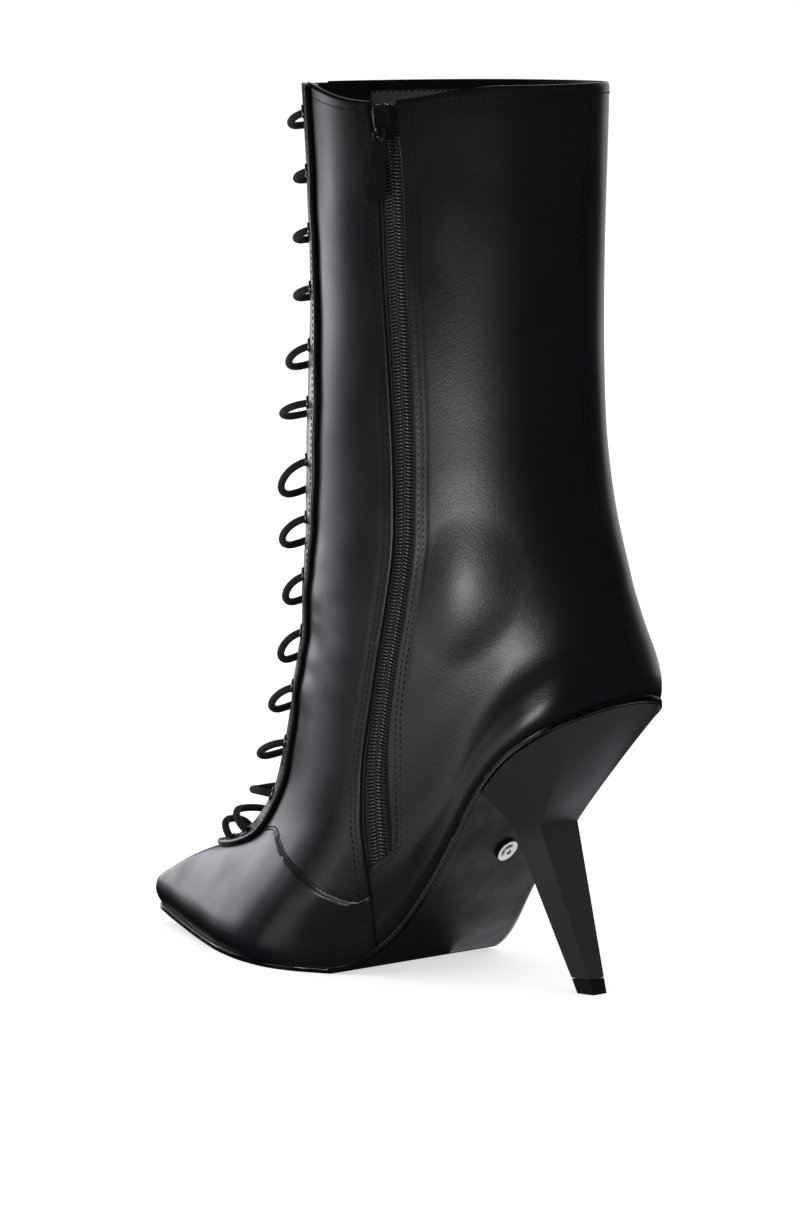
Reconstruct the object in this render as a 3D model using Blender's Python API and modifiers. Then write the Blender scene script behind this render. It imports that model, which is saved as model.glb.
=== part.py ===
"""A right-foot pointed ankle boot with front lacing, an inside zip and a kinked high heel.

X runs from the toe (-) to the heel (+), Y from the inner side (-) to the outer side (+), Z is up.
The origin is on the floor under the middle of the forefoot tread.
Lengths below are millimetres; new_object writes them to Blender in metres.
"""

import math

import bmesh
import bpy
import numpy as np
from mathutils import Matrix

MM = 0.001

# Driving sizes of the last and the shaft
TOE_LENGTH = 103.5
HEEL_LENGTH = 127.0
BALL_INNER = 42.0
BALL_OUTER = 41.0
SEAT_HEIGHT = 103.0
TOE_SPRING = 5.2
INSTEP_HEIGHT = 65.0
BOOT_HEIGHT = 308.4
COLLAR_FRONT_DROP = 4.6
COLLAR_INNER_DIP = 5.3
COLLAR_DIP_FROM = 0.25
COLLAR_DIP_TO = 0.81
SHAFT_FRONT = 25.0
SHAFT_BACK = 104.1
SHAFT_INNER = 30.0
SHAFT_OUTER = 31.0

# Leather, sole and clearances
WALL = 1.8
GAP = 0.3
FEATHER_GAP = 0.6
SOLE_THICKNESS = 1.8
SOLE_LEDGE = 1.0
TREAD_AHEAD = 26.0
TREAD_BEHIND = 18.0
INSOLE_THICKNESS = 2.0
INSOLE_CLEARANCE = 1.8

# Heel block, stem and top piece
HEEL_BREAST_X = 82.0
HEEL_ROUNDING = 9.0
HEEL_BACK_FLAT = 9.0
KINK_HEIGHT = 56.5
KINK_FRONT_DROP = 3.0
KINK_BACK_X = 92.3
KINK_FRONT_HALF = 10.8
KINK_BACK_HALF = 9.2
TIP_X = 108.5
TIP_HALF_LENGTH = 3.4
TIP_FRONT_HALF = 4.1
TIP_BACK_HALF = 3.2
TOP_PIECE_HEIGHT = 5.0
HEEL_INSET = 0.8

# Throat, eyestay, tongue and lacing
THROAT_HALF = 5.5
EYESTAY_OUTER = 16.5
EYESTAY_THICKNESS = 1.0
BEAD_WIDTH = 2.2
BEAD_HEIGHT = 2.0
TONGUE_THICKNESS = 1.2
THROAT_ROW = 7.6
EYESTAY_FIRST_ROW = THROAT_ROW - 1.0
TONGUE_FIRST_ROW = EYESTAY_FIRST_ROW
EYELET_SIDE = 9.8
EYELETS_ABOVE_THROAT = 3.0
EYELETS_BELOW_COLLAR = 10.0
TOE_PAIR_BELOW = 7.5
TOE_PAIR_SIDE = 5.4
EYELET_RADIUS = 2.2
EYELET_HOLE_RADIUS = 1.3
EYELET_HEIGHT = 0.9
EYELET_LIFT = 0.8
LACE_RADIUS = 1.15

# Zip, slider and pull tab
ZIP_OPENING = 10.0
ZIP_BOTTOM_HEIGHT = 38.0
ZIP_TAPE_WIDTH = 22.0
ZIP_TAPE_THICKNESS = 0.8
ZIP_TAPE_BELOW_SLIT = 6.0
TAPE_GAP = 0.5
COIL_WIDTH = 9.2
COIL_HEIGHT = 1.9
SLIDER_LENGTH = 12.5
SLIDER_WIDTH = 8.6
SLIDER_THICKNESS = 1.6
SLIDER_BELOW_COLLAR = 0.4
SLIDER_BASE = -(WALL + TAPE_GAP) + GAP + COIL_HEIGHT + GAP
BRIDGE_WIDTH = 2.6
BRIDGE_LENGTH = 8.5
BRIDGE_HEIGHT = 3.4
BRIDGE_BAR = 1.0
PULL_LENGTH = 25.0
PULL_LEAN = 0.28
PULL_THICKNESS = 1.2
PULL_EYE_WIDTH = 6.2
PULL_EYE_LENGTH = 4.2
PULL_WAIST_WIDTH = 5.6
PULL_END_WIDTH = 8.8

# Sole stud
STUD_RADIUS = 4.3
STUD_HEIGHT = 1.4
STUD_X = 64.5
STUD_Y = 1.0
STUD_GAP = 0.65

# Stations along the sole and columns round the upper
SOLE_STATIONS = 44
BACK_COLUMNS = 10
ZIP_COLUMNS = 2
SIDE_COLUMNS = 11
THROAT_COLUMNS = 2
OUTER_COLUMNS = 23
EYELET_SPOKES = 8
STUD_SPOKES = 16

# One lace bar for each pair of eyelets, from the toe up. bow: how far it stands off the front ridge
# at its middle. sag: how far it hangs down the leg there; the two at the toe stand up instead.
LACE_BARS = (
    # bow, sag
    (2.8, -2.5),
    (4.0, -4.0),
    (4.2, 1.5),
    (5.8, 6.5),
    (4.8, 8.5),
    (4.0, 10.0),
    (4.0, 9.0),
    (6.0, 9.5),
    (7.0, 12.0),
    (7.0, 5.0),
    (5.0, 8.0),
    (2.5, 4.0),
    (2.5, 4.0),
    (1.5, 3.5),
    (2.5, 5.0),
)

# Plan outline of the feather line: share of the length from heel to toe, and half-widths as shares
# of the ball's inner and outer half-widths.
OUTLINE = (
    # along, inner, outer
    (0.000, 0.000, 0.000),
    (0.013, 0.330, 0.340),
    (0.052, 0.565, 0.580),
    (0.104, 0.650, 0.665),
    (0.182, 0.655, 0.660),
    (0.269, 0.640, 0.622),
    (0.340, 0.665, 0.690),
    (0.421, 0.745, 0.905),
    (0.477, 0.860, 0.985),
    (0.529, 0.970, 1.000),
    (0.573, 1.000, 0.965),
    (0.633, 0.950, 0.880),
    (0.712, 0.800, 0.690),
    (0.811, 0.545, 0.430),
    (0.894, 0.320, 0.245),
    (0.963, 0.140, 0.120),
    (0.989, 0.073, 0.070),
    (1.000, 0.000, 0.000),
)

# Rise of the arch behind the tread: share of the way from the tread's back edge to the heel's back,
# and share of the seat's rise.
ARCH = (
    # along, rise
    (0.000, 0.000),
    (0.055, 0.016),
    (0.128, 0.065),
    (0.239, 0.165),
    (0.312, 0.260),
    (0.376, 0.352),
    (0.459, 0.490),
    (0.523, 0.601),
    (0.587, 0.690),
    (0.651, 0.762),
    (0.716, 0.818),
    (0.789, 0.868),
    (0.862, 0.915),
    (0.936, 0.960),
    (1.000, 1.000),
)

# One row for each section round the last, from the feather line to the top line.
# front_x and back_x: 1 at the toe or heel, 0 at the shaft. front_rise: 1 at the instep, then shaft_rise
# to the top line. back_rise: 0 at the seat, 1 at the top line. morph: 0 sole outline, 1 shaft oval.
# sag: share of the arch's sag. width: 1 at the ball's half-width, 0 at the shaft's.
SECTIONS = (
    # front_x, front_rise, shaft_rise, back_x, back_rise, morph, sag, width
    (1.000, 0.000, 0.000, 1.000, 0.000, 0.00, 1.00, 1.00),
    (1.032, 0.046, 0.000, 1.034, 0.010, 0.00, 1.00, 1.09),
    (1.045, 0.098, 0.000, 1.050, 0.022, 0.02, 0.99, 1.12),
    (1.025, 0.158, 0.000, 1.055, 0.037, 0.06, 0.96, 1.08),
    (0.955, 0.218, 0.000, 1.042, 0.054, 0.14, 0.91, 0.98),
    (0.841, 0.296, 0.000, 1.008, 0.074, 0.26, 0.83, 0.83),
    (0.713, 0.375, 0.000, 0.958, 0.094, 0.40, 0.73, 0.63),
    (0.581, 0.442, 0.000, 0.895, 0.113, 0.55, 0.60, 0.44),
    (0.451, 0.519, 0.000, 0.823, 0.135, 0.70, 0.47, 0.29),
    (0.344, 0.631, 0.000, 0.738, 0.160, 0.83, 0.34, 0.19),
    (0.251, 0.794, 0.000, 0.641, 0.187, 0.92, 0.22, 0.13),
    (0.191, 1.000, 0.000, 0.536, 0.222, 1.00, 0.12, 0.11),
    (0.140, 1.000, 0.063, 0.409, 0.261, 1.00, 0.05, 0.10),
    (0.094, 1.000, 0.135, 0.283, 0.305, 1.00, 0.00, 0.08),
    (0.058, 1.000, 0.211, 0.177, 0.355, 1.00, 0.00, 0.06),
    (0.040, 1.000, 0.304, 0.084, 0.419, 1.00, 0.00, 0.03),
    (0.027, 1.000, 0.401, 0.030, 0.493, 1.00, 0.00, 0.00),
    (0.013, 1.000, 0.549, 0.000, 0.601, 1.00, 0.00, 0.00),
    (0.000, 1.000, 0.717, 0.008, 0.724, 1.00, 0.00, 0.00),
    (0.013, 1.000, 0.844, 0.042, 0.847, 1.00, 0.00, 0.03),
    (0.051, 1.000, 1.000, 0.093, 1.000, 1.00, 0.00, 0.08),
)
LAST_ROW = len(SECTIONS) - 1

# Middle of the zip, as shares of the way from the shaft's front to its back, against the share of
# the way from the floor to the top line.
ZIP_LINE = (
    # height, along
    (0.000, 0.492),
    (0.130, 0.484),
    (0.230, 0.464),
    (0.330, 0.494),
    (0.427, 0.540),
    (0.480, 0.559),
    (0.540, 0.560),
    (0.670, 0.547),
    (0.800, 0.526),
    (0.880, 0.518),
    (1.000, 0.486),
)


def smooth(table, column, at):
    """Cubic Hermite curve through the table's rows, with the slopes of its neighbours, in column."""
    rows = np.asarray(table, float)
    x, y = rows[:, 0], rows[:, column]
    chord = np.diff(y) / np.diff(x)
    slope = np.empty_like(y)
    slope[0], slope[-1] = chord[0], chord[-1]
    before, after = np.diff(x)[:-1], np.diff(x)[1:]
    slope[1:-1] = (chord[:-1] * after + chord[1:] * before) / (before + after)
    at = np.clip(np.asarray(at, float), x[0], x[-1])
    left = np.clip(np.searchsorted(x, at, side="right") - 1, 0, len(x) - 2)
    step = x[left + 1] - x[left]
    t = (at - x[left]) / step
    return (
        (2 * t**3 - 3 * t**2 + 1) * y[left]
        + (t**3 - 2 * t**2 + t) * step * slope[left]
        + (3 * t**2 - 2 * t**3) * y[left + 1]
        + (t**3 - t**2) * step * slope[left + 1]
    )


def turn_of(along):
    """The turn, 0 to 1, whose cosine gives this share of the length: it keeps both ends round."""
    return np.arccos(1 - 2 * np.clip(along, 0, 1)) / math.pi


OUTLINE_BY_TURN = [(turn_of(along), inner, outer) for along, inner, outer in OUTLINE]
SECTIONS_BY_ROW = [(row, *values) for row, values in enumerate(SECTIONS)]


def outline_share(turn, outer_side):
    """Half-width of the feather line as a share of the ball's, at this turn from heel to toe."""
    return smooth(OUTLINE_BY_TURN, 2 if outer_side else 1, turn)


def sole_top(x):
    """Height of the outsole's upper face: flat at the tread, a parabola at the toe, the arch behind."""
    x = np.asarray(x, float)
    toe = np.clip((-TREAD_AHEAD - x) / (TOE_LENGTH - TREAD_AHEAD), 0, None)
    heel = (x - TREAD_BEHIND) / (HEEL_LENGTH - TREAD_BEHIND)
    rise = smooth(ARCH, 1, heel) * (SEAT_HEIGHT - SOLE_THICKNESS)
    past_heel = np.clip(heel - 1, 0, None)
    end_slope = (ARCH[-1][1] - ARCH[-2][1]) / (ARCH[-1][0] - ARCH[-2][0])
    rise = rise + past_heel * end_slope * (SEAT_HEIGHT - SOLE_THICKNESS)
    return SOLE_THICKNESS + TOE_SPRING * toe**2 + rise


def along_sole(x, distance):
    """A distance square to the sole, as a height at x."""
    slope = sole_top(x + 0.5) - sole_top(x - 0.5)
    return distance * np.sqrt(1 + slope**2)


def last_surface(row, around):
    """Outer face of the upper. row runs from the feather line (0) to the top line (LAST_ROW); around
    runs from the back (0) along the inner side to the front (1) and back along the outer side (2)."""
    row, around = np.broadcast_arrays(np.asarray(row, float), np.asarray(around, float))
    outer_side = around > 1
    turn = np.where(outer_side, 2 - around, around)
    front_x, front_rise, shaft_rise, back_x, back_rise, morph, sag, width = (
        smooth(SECTIONS_BY_ROW, column, row) for column in range(1, 9)
    )
    front = -(SHAFT_FRONT + front_x * (TOE_LENGTH - SHAFT_FRONT))
    back = SHAFT_BACK + back_x * (HEEL_LENGTH - SHAFT_BACK)
    toe_z = sole_top(-TOE_LENGTH)
    top_front = BOOT_HEIGHT - COLLAR_FRONT_DROP
    front_z = toe_z + front_rise * (INSTEP_HEIGHT - toe_z) + shaft_rise * (top_front - INSTEP_HEIGHT)
    back_z = SEAT_HEIGHT + back_rise * (BOOT_HEIGHT - SEAT_HEIGHT)

    along = (1 - np.cos(math.pi * turn)) / 2
    x = back + along * (front - back)
    feather_x = HEEL_LENGTH - along * (HEEL_LENGTH + TOE_LENGTH)
    feather_chord = SEAT_HEIGHT + along * (toe_z - SEAT_HEIGHT)
    z = back_z + along * (front_z - back_z) - sag * (feather_chord - sole_top(feather_x))
    near_top = np.clip((row - LAST_ROW + 3) / 3, 0, 1) ** 2
    dip = np.clip((turn - COLLAR_DIP_FROM) / (COLLAR_DIP_TO - COLLAR_DIP_FROM), 0, 1)
    z = z - np.where(outer_side, 0, COLLAR_INNER_DIP) * near_top * np.sin(math.pi * dip) ** 2

    # The shaft's oval is blunt at the back, and its sides flatten to a keel at the front.
    keel = 0.8 + 0.8 * along**2 * (3 - 2 * along)
    oval = np.sin(math.pi * turn) ** keel
    sole = np.where(outer_side, outline_share(turn, True), outline_share(turn, False))
    share = sole + morph * (oval - sole)
    ball = np.where(outer_side, BALL_OUTER, BALL_INNER)
    shaft = np.where(outer_side, SHAFT_OUTER, SHAFT_INNER)
    y = np.where(outer_side, 1, -1) * share * (shaft + width * (ball - shaft))
    return np.stack([x, y, z], -1)


def offset_surface(row, around, out):
    """last_surface moved out along its normal, or in where out is negative."""
    small_row, small_turn = 0.05, 0.004
    row, around = np.broadcast_arrays(np.asarray(row, float), np.asarray(around, float))
    up = last_surface(np.clip(row + small_row, 0, LAST_ROW), around) - last_surface(
        np.clip(row - small_row, 0, LAST_ROW), around
    )
    ahead = last_surface(row, (around + small_turn) % 2) - last_surface(row, (around - small_turn) % 2)
    normal = np.cross(ahead, up)
    normal /= np.linalg.norm(normal, axis=-1, keepdims=True)
    return last_surface(row, around) - normal * np.asarray(out)[..., None]


def around_at_side(row, side):
    """Where a section's front flank is this far from the middle plane; a negative side is inner."""
    turns = np.linspace(1.0, 0.55, 240)
    arounds = turns if side < 0 else 2 - turns
    widths = np.abs(last_surface(row, arounds)[:, 1])
    return float(np.interp(abs(side), widths, arounds))


def zip_x(height):
    """Middle of the zip at this height."""
    share = smooth(ZIP_LINE, 1, height / BOOT_HEIGHT)
    return share * (SHAFT_BACK + SHAFT_FRONT) - SHAFT_FRONT


def around_at_zip(row, shift):
    """Where a section crosses the zip's middle line, shift millimetres behind it."""
    arounds = np.linspace(0.25, 0.75, 240)
    points = last_surface(row, arounds)
    behind = points[:, 0] - zip_x(points[:, 2])
    return float(np.interp(-shift, -behind, arounds))


def row_at_height(around_of_row, height):
    """The row whose point, at around_of_row(row), is at this height."""
    rows = np.linspace(0, LAST_ROW, 160)
    heights = [float(last_surface(row, around_of_row(row))[2]) for row in rows]
    return float(np.interp(height, heights, rows))


def throat_half(row):
    """Half of the throat's opening, rounded at its lower end."""
    return THROAT_HALF * min(1.0, math.sqrt(max(row - THROAT_ROW, 0) / 0.6 + 0.15))


def new_object(name, points, faces, material):
    """Adds a mesh object from points in millimetres."""
    mesh = bpy.data.meshes.new(name)
    mesh.from_pydata([tuple(float(c) * MM for c in point) for point in points], [], faces)
    mesh.update()
    made = bpy.data.objects.new(name, mesh)
    mesh.materials.append(material)
    boot.objects.link(made)
    return made


def face_out(made):
    """Turns the faces of a closed mesh outwards."""
    shape = bmesh.new()
    shape.from_mesh(made.data)
    bmesh.ops.remove_doubles(shape, verts=shape.verts, dist=1e-6)
    bmesh.ops.recalc_face_normals(shape, faces=shape.faces)
    shape.to_mesh(made.data)
    shape.free()
    return made


def shell_between(name, outer, inner, keep, material):
    """A closed wall between two grids of points of equal shape, over the cells that keep marks."""
    rows, columns = outer.shape[:2]
    across = keep.shape[1]
    index = np.arange(rows * columns).reshape(rows, columns)
    far = index + rows * columns
    faces = []
    for r in range(rows - 1):
        for c in range(across):
            if not keep[r, c]:
                continue
            d = (c + 1) % columns
            ring = [(r, c), (r, d), (r + 1, d), (r + 1, c)]
            faces.append([int(index[p]) for p in ring])
            faces.append([int(far[p]) for p in reversed(ring)])
            wraps = across == columns
            open_edges = (
                (r == 0 or not keep[r - 1, c], (r, c), (r, d)),
                (_is_open(keep, r, c + 1, wraps), (r, d), (r + 1, d)),
                (r == rows - 2 or not keep[r + 1, c], (r + 1, d), (r + 1, c)),
                (_is_open(keep, r, c - 1, wraps), (r + 1, c), (r, c)),
            )
            for is_open, a, b in open_edges:
                if is_open:
                    faces.append([int(index[b]), int(index[a]), int(far[a]), int(far[b])])
    points = np.concatenate([outer.reshape(-1, 3), inner.reshape(-1, 3)])
    used = sorted({i for face in faces for i in face})
    place = {old: new for new, old in enumerate(used)}
    return face_out(
        new_object(name, points[used], [[place[i] for i in face] for face in faces], material)
    )


def _is_open(keep, r, c, wraps):
    """True if there is no cell at row r, column c."""
    if wraps:
        c %= keep.shape[1]
    return c < 0 or c >= keep.shape[1] or not keep[r, c]


def loft(name, rings, material, caps=True):
    """A solid through closed rings with equal numbers of points, with strips or fans as its ends."""
    count = len(rings[0])
    points = [point for ring in rings for point in ring]
    faces = []
    for level in range(len(rings) - 1):
        for i in range(count):
            j = (i + 1) % count
            low, high = level * count, (level + 1) * count
            faces.append([low + i, low + j, high + j, high + i])
    if caps:
        for start in (0, (len(rings) - 1) * count):
            faces += [[start + i for i in strip] for strip in strips_across(count)]
    return face_out(new_object(name, points, faces, material))


def strips_across(count):
    """Quads that fill a ring of an even number of points, joining point i to its partner opposite."""
    half = count // 2
    strips = []
    for i in range(half - 1):
        strips.append([i, i + 1, count - 2 - i, count - 1 - i])
    return strips


def join_all(name, pieces):
    """Boolean union of mesh objects into the first one, which keeps the name."""
    first = pieces[0]
    others = bpy.data.collections.new(name + "_joined")
    for piece in pieces[1:]:
        boot.objects.unlink(piece)
        others.objects.link(piece)
    union = first.modifiers.new("join", "BOOLEAN")
    union.operation = "UNION"
    union.operand_type = "COLLECTION"
    union.collection = others
    graph = bpy.context.evaluated_depsgraph_get()
    joined = bpy.data.meshes.new_from_object(first.evaluated_get(graph))
    first.modifiers.remove(union)
    first.data = joined
    for piece in list(others.objects):
        bpy.data.objects.remove(piece)
    bpy.data.collections.remove(others)
    first.name = name
    return first


def finish(name, colour, roughness, metallic=0.0):
    """A plain Principled material."""
    made = bpy.data.materials.new(name)
    made.use_nodes = True
    shader = made.node_tree.nodes["Principled BSDF"]
    shader.inputs["Base Color"].default_value = (*colour, 1)
    shader.inputs["Roughness"].default_value = roughness
    shader.inputs["Metallic"].default_value = metallic
    return made


def half_widths(x, inset):
    """Inner and outer half-widths of the sole's outline at x, moved in by inset."""
    length = HEEL_LENGTH + TOE_LENGTH - 2 * inset
    turn = turn_of((HEEL_LENGTH - inset - x) / length)
    ends = np.clip(np.sin(math.pi * turn) * 2.2, 0, 1)
    inner = outline_share(turn, False) * BALL_INNER - inset * ends
    outer = outline_share(turn, True) * BALL_OUTER - inset * ends
    return inner, outer


def sole_layer(name, inset, top_of, thickness, material):
    """A layer that follows the sole's profile, with straight strips from side to side. All layers
    share their stations along x, so that their flats lie on one another."""
    along = (1 - np.cos(math.pi * np.linspace(0, 1, SOLE_STATIONS))) / 2
    shared = HEEL_LENGTH - along * (HEEL_LENGTH + TOE_LENGTH)
    shared = np.sort(np.concatenate([shared, [-TREAD_AHEAD, TREAD_BEHIND]]))[::-1]
    back, front = HEEL_LENGTH - inset, inset - TOE_LENGTH
    x = shared[(shared < back - 0.4) & (shared > front + 0.4)]
    inner, outer = half_widths(x, inset)
    end_share = 0.35
    x = np.concatenate([[back], x, [front]])
    inner = np.concatenate([[inner[0] * end_share], inner, [inner[-1] * end_share]])
    outer = np.concatenate([[outer[0] * end_share], outer, [outer[-1] * end_share]])
    xs = np.concatenate([x, x[::-1]])
    ys = np.concatenate([-inner, outer[::-1]])
    top = top_of(xs)
    high = np.stack([xs, ys, top], -1)
    low = np.stack([xs, ys, top - along_sole(xs, thickness)], -1)
    return loft(name, [low, high], material)


def build_outsole():
    return sole_layer("outsole", -SOLE_LEDGE, sole_top, SOLE_THICKNESS, sole_rubber)


def build_insole():
    def insole_top(x):
        return sole_top(x) + along_sole(x, GAP + INSOLE_THICKNESS)

    return sole_layer("insole", WALL + INSOLE_CLEARANCE, insole_top, INSOLE_THICKNESS, lining)


def flank_sides(row):
    """Distances from the middle plane that upper, eyestay and tongue share, so that their flats match."""
    near = throat_half(row)
    far = max(eyestay_outer(row), near + 2.4)
    bead = max(far - BEAD_WIDTH, near + (far - near) * 0.6)
    return [near, (near + bead) / 2, bead, far]


def section_columns(row):
    """Where one section's columns stand: zip edges, eyestay and throat have columns of their own."""
    zip_back = around_at_zip(row, ZIP_OPENING / 2)
    zip_front = around_at_zip(row, -ZIP_OPENING / 2)
    near, middle, bead, far = flank_sides(row)
    inner = [around_at_side(row, -side) for side in (far, bead, middle, near)]
    outer = [around_at_side(row, side) for side in (near, middle, bead, far)]
    return np.concatenate(
        [
            np.linspace(0, zip_back, BACK_COLUMNS, endpoint=False),
            np.linspace(zip_back, zip_front, ZIP_COLUMNS, endpoint=False),
            np.linspace(zip_front, inner[0], SIDE_COLUMNS - 3, endpoint=False),
            inner[:3],
            np.linspace(inner[3], outer[0], THROAT_COLUMNS, endpoint=False),
            outer[:3],
            np.linspace(outer[3], 2, OUTER_COLUMNS - 3, endpoint=False),
        ]
    )


def section_rows():
    """The rows that have a section of their own: the throat's and the zip's lower ends among them."""
    zip_row = row_at_height(lambda row: around_at_zip(row, 0), ZIP_BOTTOM_HEIGHT)
    even = [0, 0.5, 1, 1.6, 2.3, 3, 3.8, 4.6, 5.4, EYESTAY_FIRST_ROW, (EYESTAY_FIRST_ROW + THROAT_ROW) / 2]
    even += [8.1, 8.6, 9.3, 10, 11, 12, 13, 14, 15, 16, 17, 18, 19, LAST_ROW]
    near = [row for row in even if abs(row - zip_row) > 0.35]
    return np.array(sorted(near + [zip_row, THROAT_ROW])), zip_row


def build_upper():
    """The hollow upper: a tube of sections with the throat and the zip's slit left open."""
    rows, zip_row = section_rows()
    arounds = np.array([section_columns(row) for row in rows])
    grid_rows = np.repeat(rows[:, None], arounds.shape[1], 1)
    outer = last_surface(grid_rows, arounds)
    inner = offset_surface(grid_rows, arounds, -WALL)
    outer[0, :, 2] += along_sole(outer[0, :, 0], FEATHER_GAP)
    inner[0, :, 2] = sole_top(inner[0, :, 0]) + along_sole(inner[0, :, 0], FEATHER_GAP)
    keep = np.ones((len(rows) - 1, arounds.shape[1]), bool)
    zip_first = BACK_COLUMNS
    throat_first = BACK_COLUMNS + ZIP_COLUMNS + SIDE_COLUMNS
    above_zip = rows[:-1] >= zip_row - 1e-6
    above_throat = rows[:-1] >= THROAT_ROW - 1e-6
    keep[above_zip, zip_first : zip_first + ZIP_COLUMNS] = False
    keep[above_throat, throat_first : throat_first + THROAT_COLUMNS] = False
    return shell_between("upper", outer, inner, keep, leather)


def front_strip(name, rows, sides, out_near, out_far, material, keep=None):
    """A wall over the front flanks: its columns stand at these distances from the middle plane."""
    arounds = np.array([[around_at_side(row, side) for side in sides(row)] for row in rows])
    grid_rows = np.repeat(np.asarray(rows, float)[:, None], arounds.shape[1], 1)
    outer = offset_surface(grid_rows, arounds, np.broadcast_to(out_far, arounds.shape))
    inner = offset_surface(grid_rows, arounds, out_near)
    if keep is None:
        keep = np.ones((len(rows) - 1, arounds.shape[1] - 1), bool)
    return shell_between(name, outer, inner, keep, material)


def eyestay_outer(row):
    """The eyestay's outer edge, drawn in to a round end below the throat."""
    below = np.clip((row - EYESTAY_FIRST_ROW) / (THROAT_ROW + 0.3 - EYESTAY_FIRST_ROW), 0, 1)
    return EYESTAY_OUTER * math.sqrt(max(1 - (1 - below) ** 2, 0.12))


def build_eyestay():
    """The stay round the throat: two legs joined in a U below it, with a bead along the outer edge."""
    rows = section_rows()[0]
    rows = rows[rows >= EYESTAY_FIRST_ROW - 1e-6]

    def sides(row):
        near, middle, bead, far = flank_sides(row)
        half = [near + GAP, middle, bead, bead + (far - bead) * 0.6, far]
        return [-side for side in reversed(half)] + [0] + half

    keep = np.ones((len(rows) - 1, 10), bool)
    keep[rows[:-1] >= THROAT_ROW - 1e-6, 4:6] = False
    low, high = GAP + EYESTAY_THICKNESS, GAP + BEAD_HEIGHT
    half_out = [low, low, high, high, low * 0.7]
    return front_strip("eyestay", rows, sides, GAP, half_out[::-1] + [low] + half_out, leather, keep)


def tube(name, path, radius, sides, material):
    """A round cord along a path in millimetres, as a mesh with closed ends."""
    curve = bpy.data.curves.new(name, "CURVE")
    curve.dimensions = "3D"
    curve.bevel_depth = radius * MM
    curve.bevel_resolution = (sides - 4) // 2
    curve.use_fill_caps = True
    spline = curve.splines.new("POLY")
    spline.points.add(len(path) - 1)
    for point, place in zip(spline.points, path):
        point.co = (*(float(c) * MM for c in place), 1)
    route = bpy.data.objects.new(name + "_route", curve)
    boot.objects.link(route)
    bpy.context.view_layer.update()
    graph = bpy.context.evaluated_depsgraph_get()
    mesh = bpy.data.meshes.new_from_object(route.evaluated_get(graph))
    bpy.data.objects.remove(route)
    made = bpy.data.objects.new(name, mesh)
    mesh.materials.clear()
    mesh.materials.append(material)
    boot.objects.link(made)
    return face_out(made)


def build_tongue():
    """The tongue behind the throat, from under the vamp to the top line."""
    rows = section_rows()[0]
    rows = rows[rows >= TONGUE_FIRST_ROW - 1e-6]
    near = -(WALL + GAP)

    def sides(row):
        half = flank_sides(row)
        return [-side for side in reversed(half)] + [0] + half

    return front_strip("tongue", rows, sides, near - TONGUE_THICKNESS, near, leather)


def ridge_run():
    """Rows along the front ridge and their lengths along it, measured from the throat's lower end."""
    rows = np.linspace(0, LAST_ROW, 240)
    points = last_surface(rows, 1.0)
    run = np.concatenate([[0], np.cumsum(np.linalg.norm(np.diff(points, axis=0), axis=1))])
    return rows, run - np.interp(THROAT_ROW, rows, run)


def eyelet_places():
    """Length along the ridge and distance from the middle plane of each pair, from the toe up."""
    top = ridge_run()[1][-1] - EYELETS_BELOW_COLLAR
    lengths = np.linspace(EYELETS_ABOVE_THROAT, top, len(LACE_BARS) - 1)
    pairs = [(float(length), EYELET_SIDE) for length in lengths]
    return [(EYELETS_ABOVE_THROAT - TOE_PAIR_BELOW, TOE_PAIR_SIDE), *pairs]


def frame_at(row, around):
    """Unit vectors at a point of the surface: along the section, up the leg, and outwards."""
    small = 0.01
    ahead = last_surface(row, around + small) - last_surface(row, around - small)
    out = offset_surface(row, around, 1.0) - last_surface(row, around)
    out /= np.linalg.norm(out)
    ahead -= out * (ahead @ out)
    ahead /= np.linalg.norm(ahead)
    return ahead, np.cross(out, ahead), out


def turned(name, profile, spokes, frame, material, ring=False):
    """A profile (radius, height) turned about the frame's out axis; a ring's profile is closed."""
    count = len(profile)
    edges = [(i, i + 1) for i in range(count - 1)]
    if ring:
        edges.append((count - 1, 0))
    mesh = bpy.data.meshes.new(name)
    mesh.from_pydata([(radius * MM, 0, height * MM) for radius, height in profile], edges, [])
    mesh.materials.append(material)
    made = bpy.data.objects.new(name, mesh)
    boot.objects.link(made)
    origin, ahead, up, out = frame
    columns = np.stack([ahead, up, out, origin * MM], 1)
    made.matrix_world = Matrix([*columns.tolist(), (0, 0, 0, 1)])
    turn = made.modifiers.new("turn", "SCREW")
    turn.steps = turn.render_steps = spokes
    turn.use_merge_vertices = True
    turn.merge_threshold = 1e-6
    weld = made.modifiers.new("poles", "WELD")
    weld.merge_threshold = 1e-6
    return made


def build_eyelets():
    """A turned ring at each lace hole, standing on the eyestay."""
    profile = (
        # radius, height above the eyestay
        (EYELET_RADIUS - 0.35, EYELET_HEIGHT),
        (EYELET_RADIUS, 0.0),
        (EYELET_HOLE_RADIUS, 0.0),
        (EYELET_HOLE_RADIUS, EYELET_HEIGHT),
    )
    stand = GAP + EYESTAY_THICKNESS + EYELET_LIFT
    for number, (length, side) in enumerate(eyelet_places(), 1):
        row = np.interp(length, *reversed(ridge_run()))
        for sign, word in ((-1, "inner"), (1, "outer")):
            around = around_at_side(row, sign * side)
            frame = (offset_surface(row, around, stand), *frame_at(row, around))
            turned(f"eyelet_{word}_{number:02d}", profile, EYELET_SPOKES, frame, eyelet_metal, ring=True)


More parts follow.
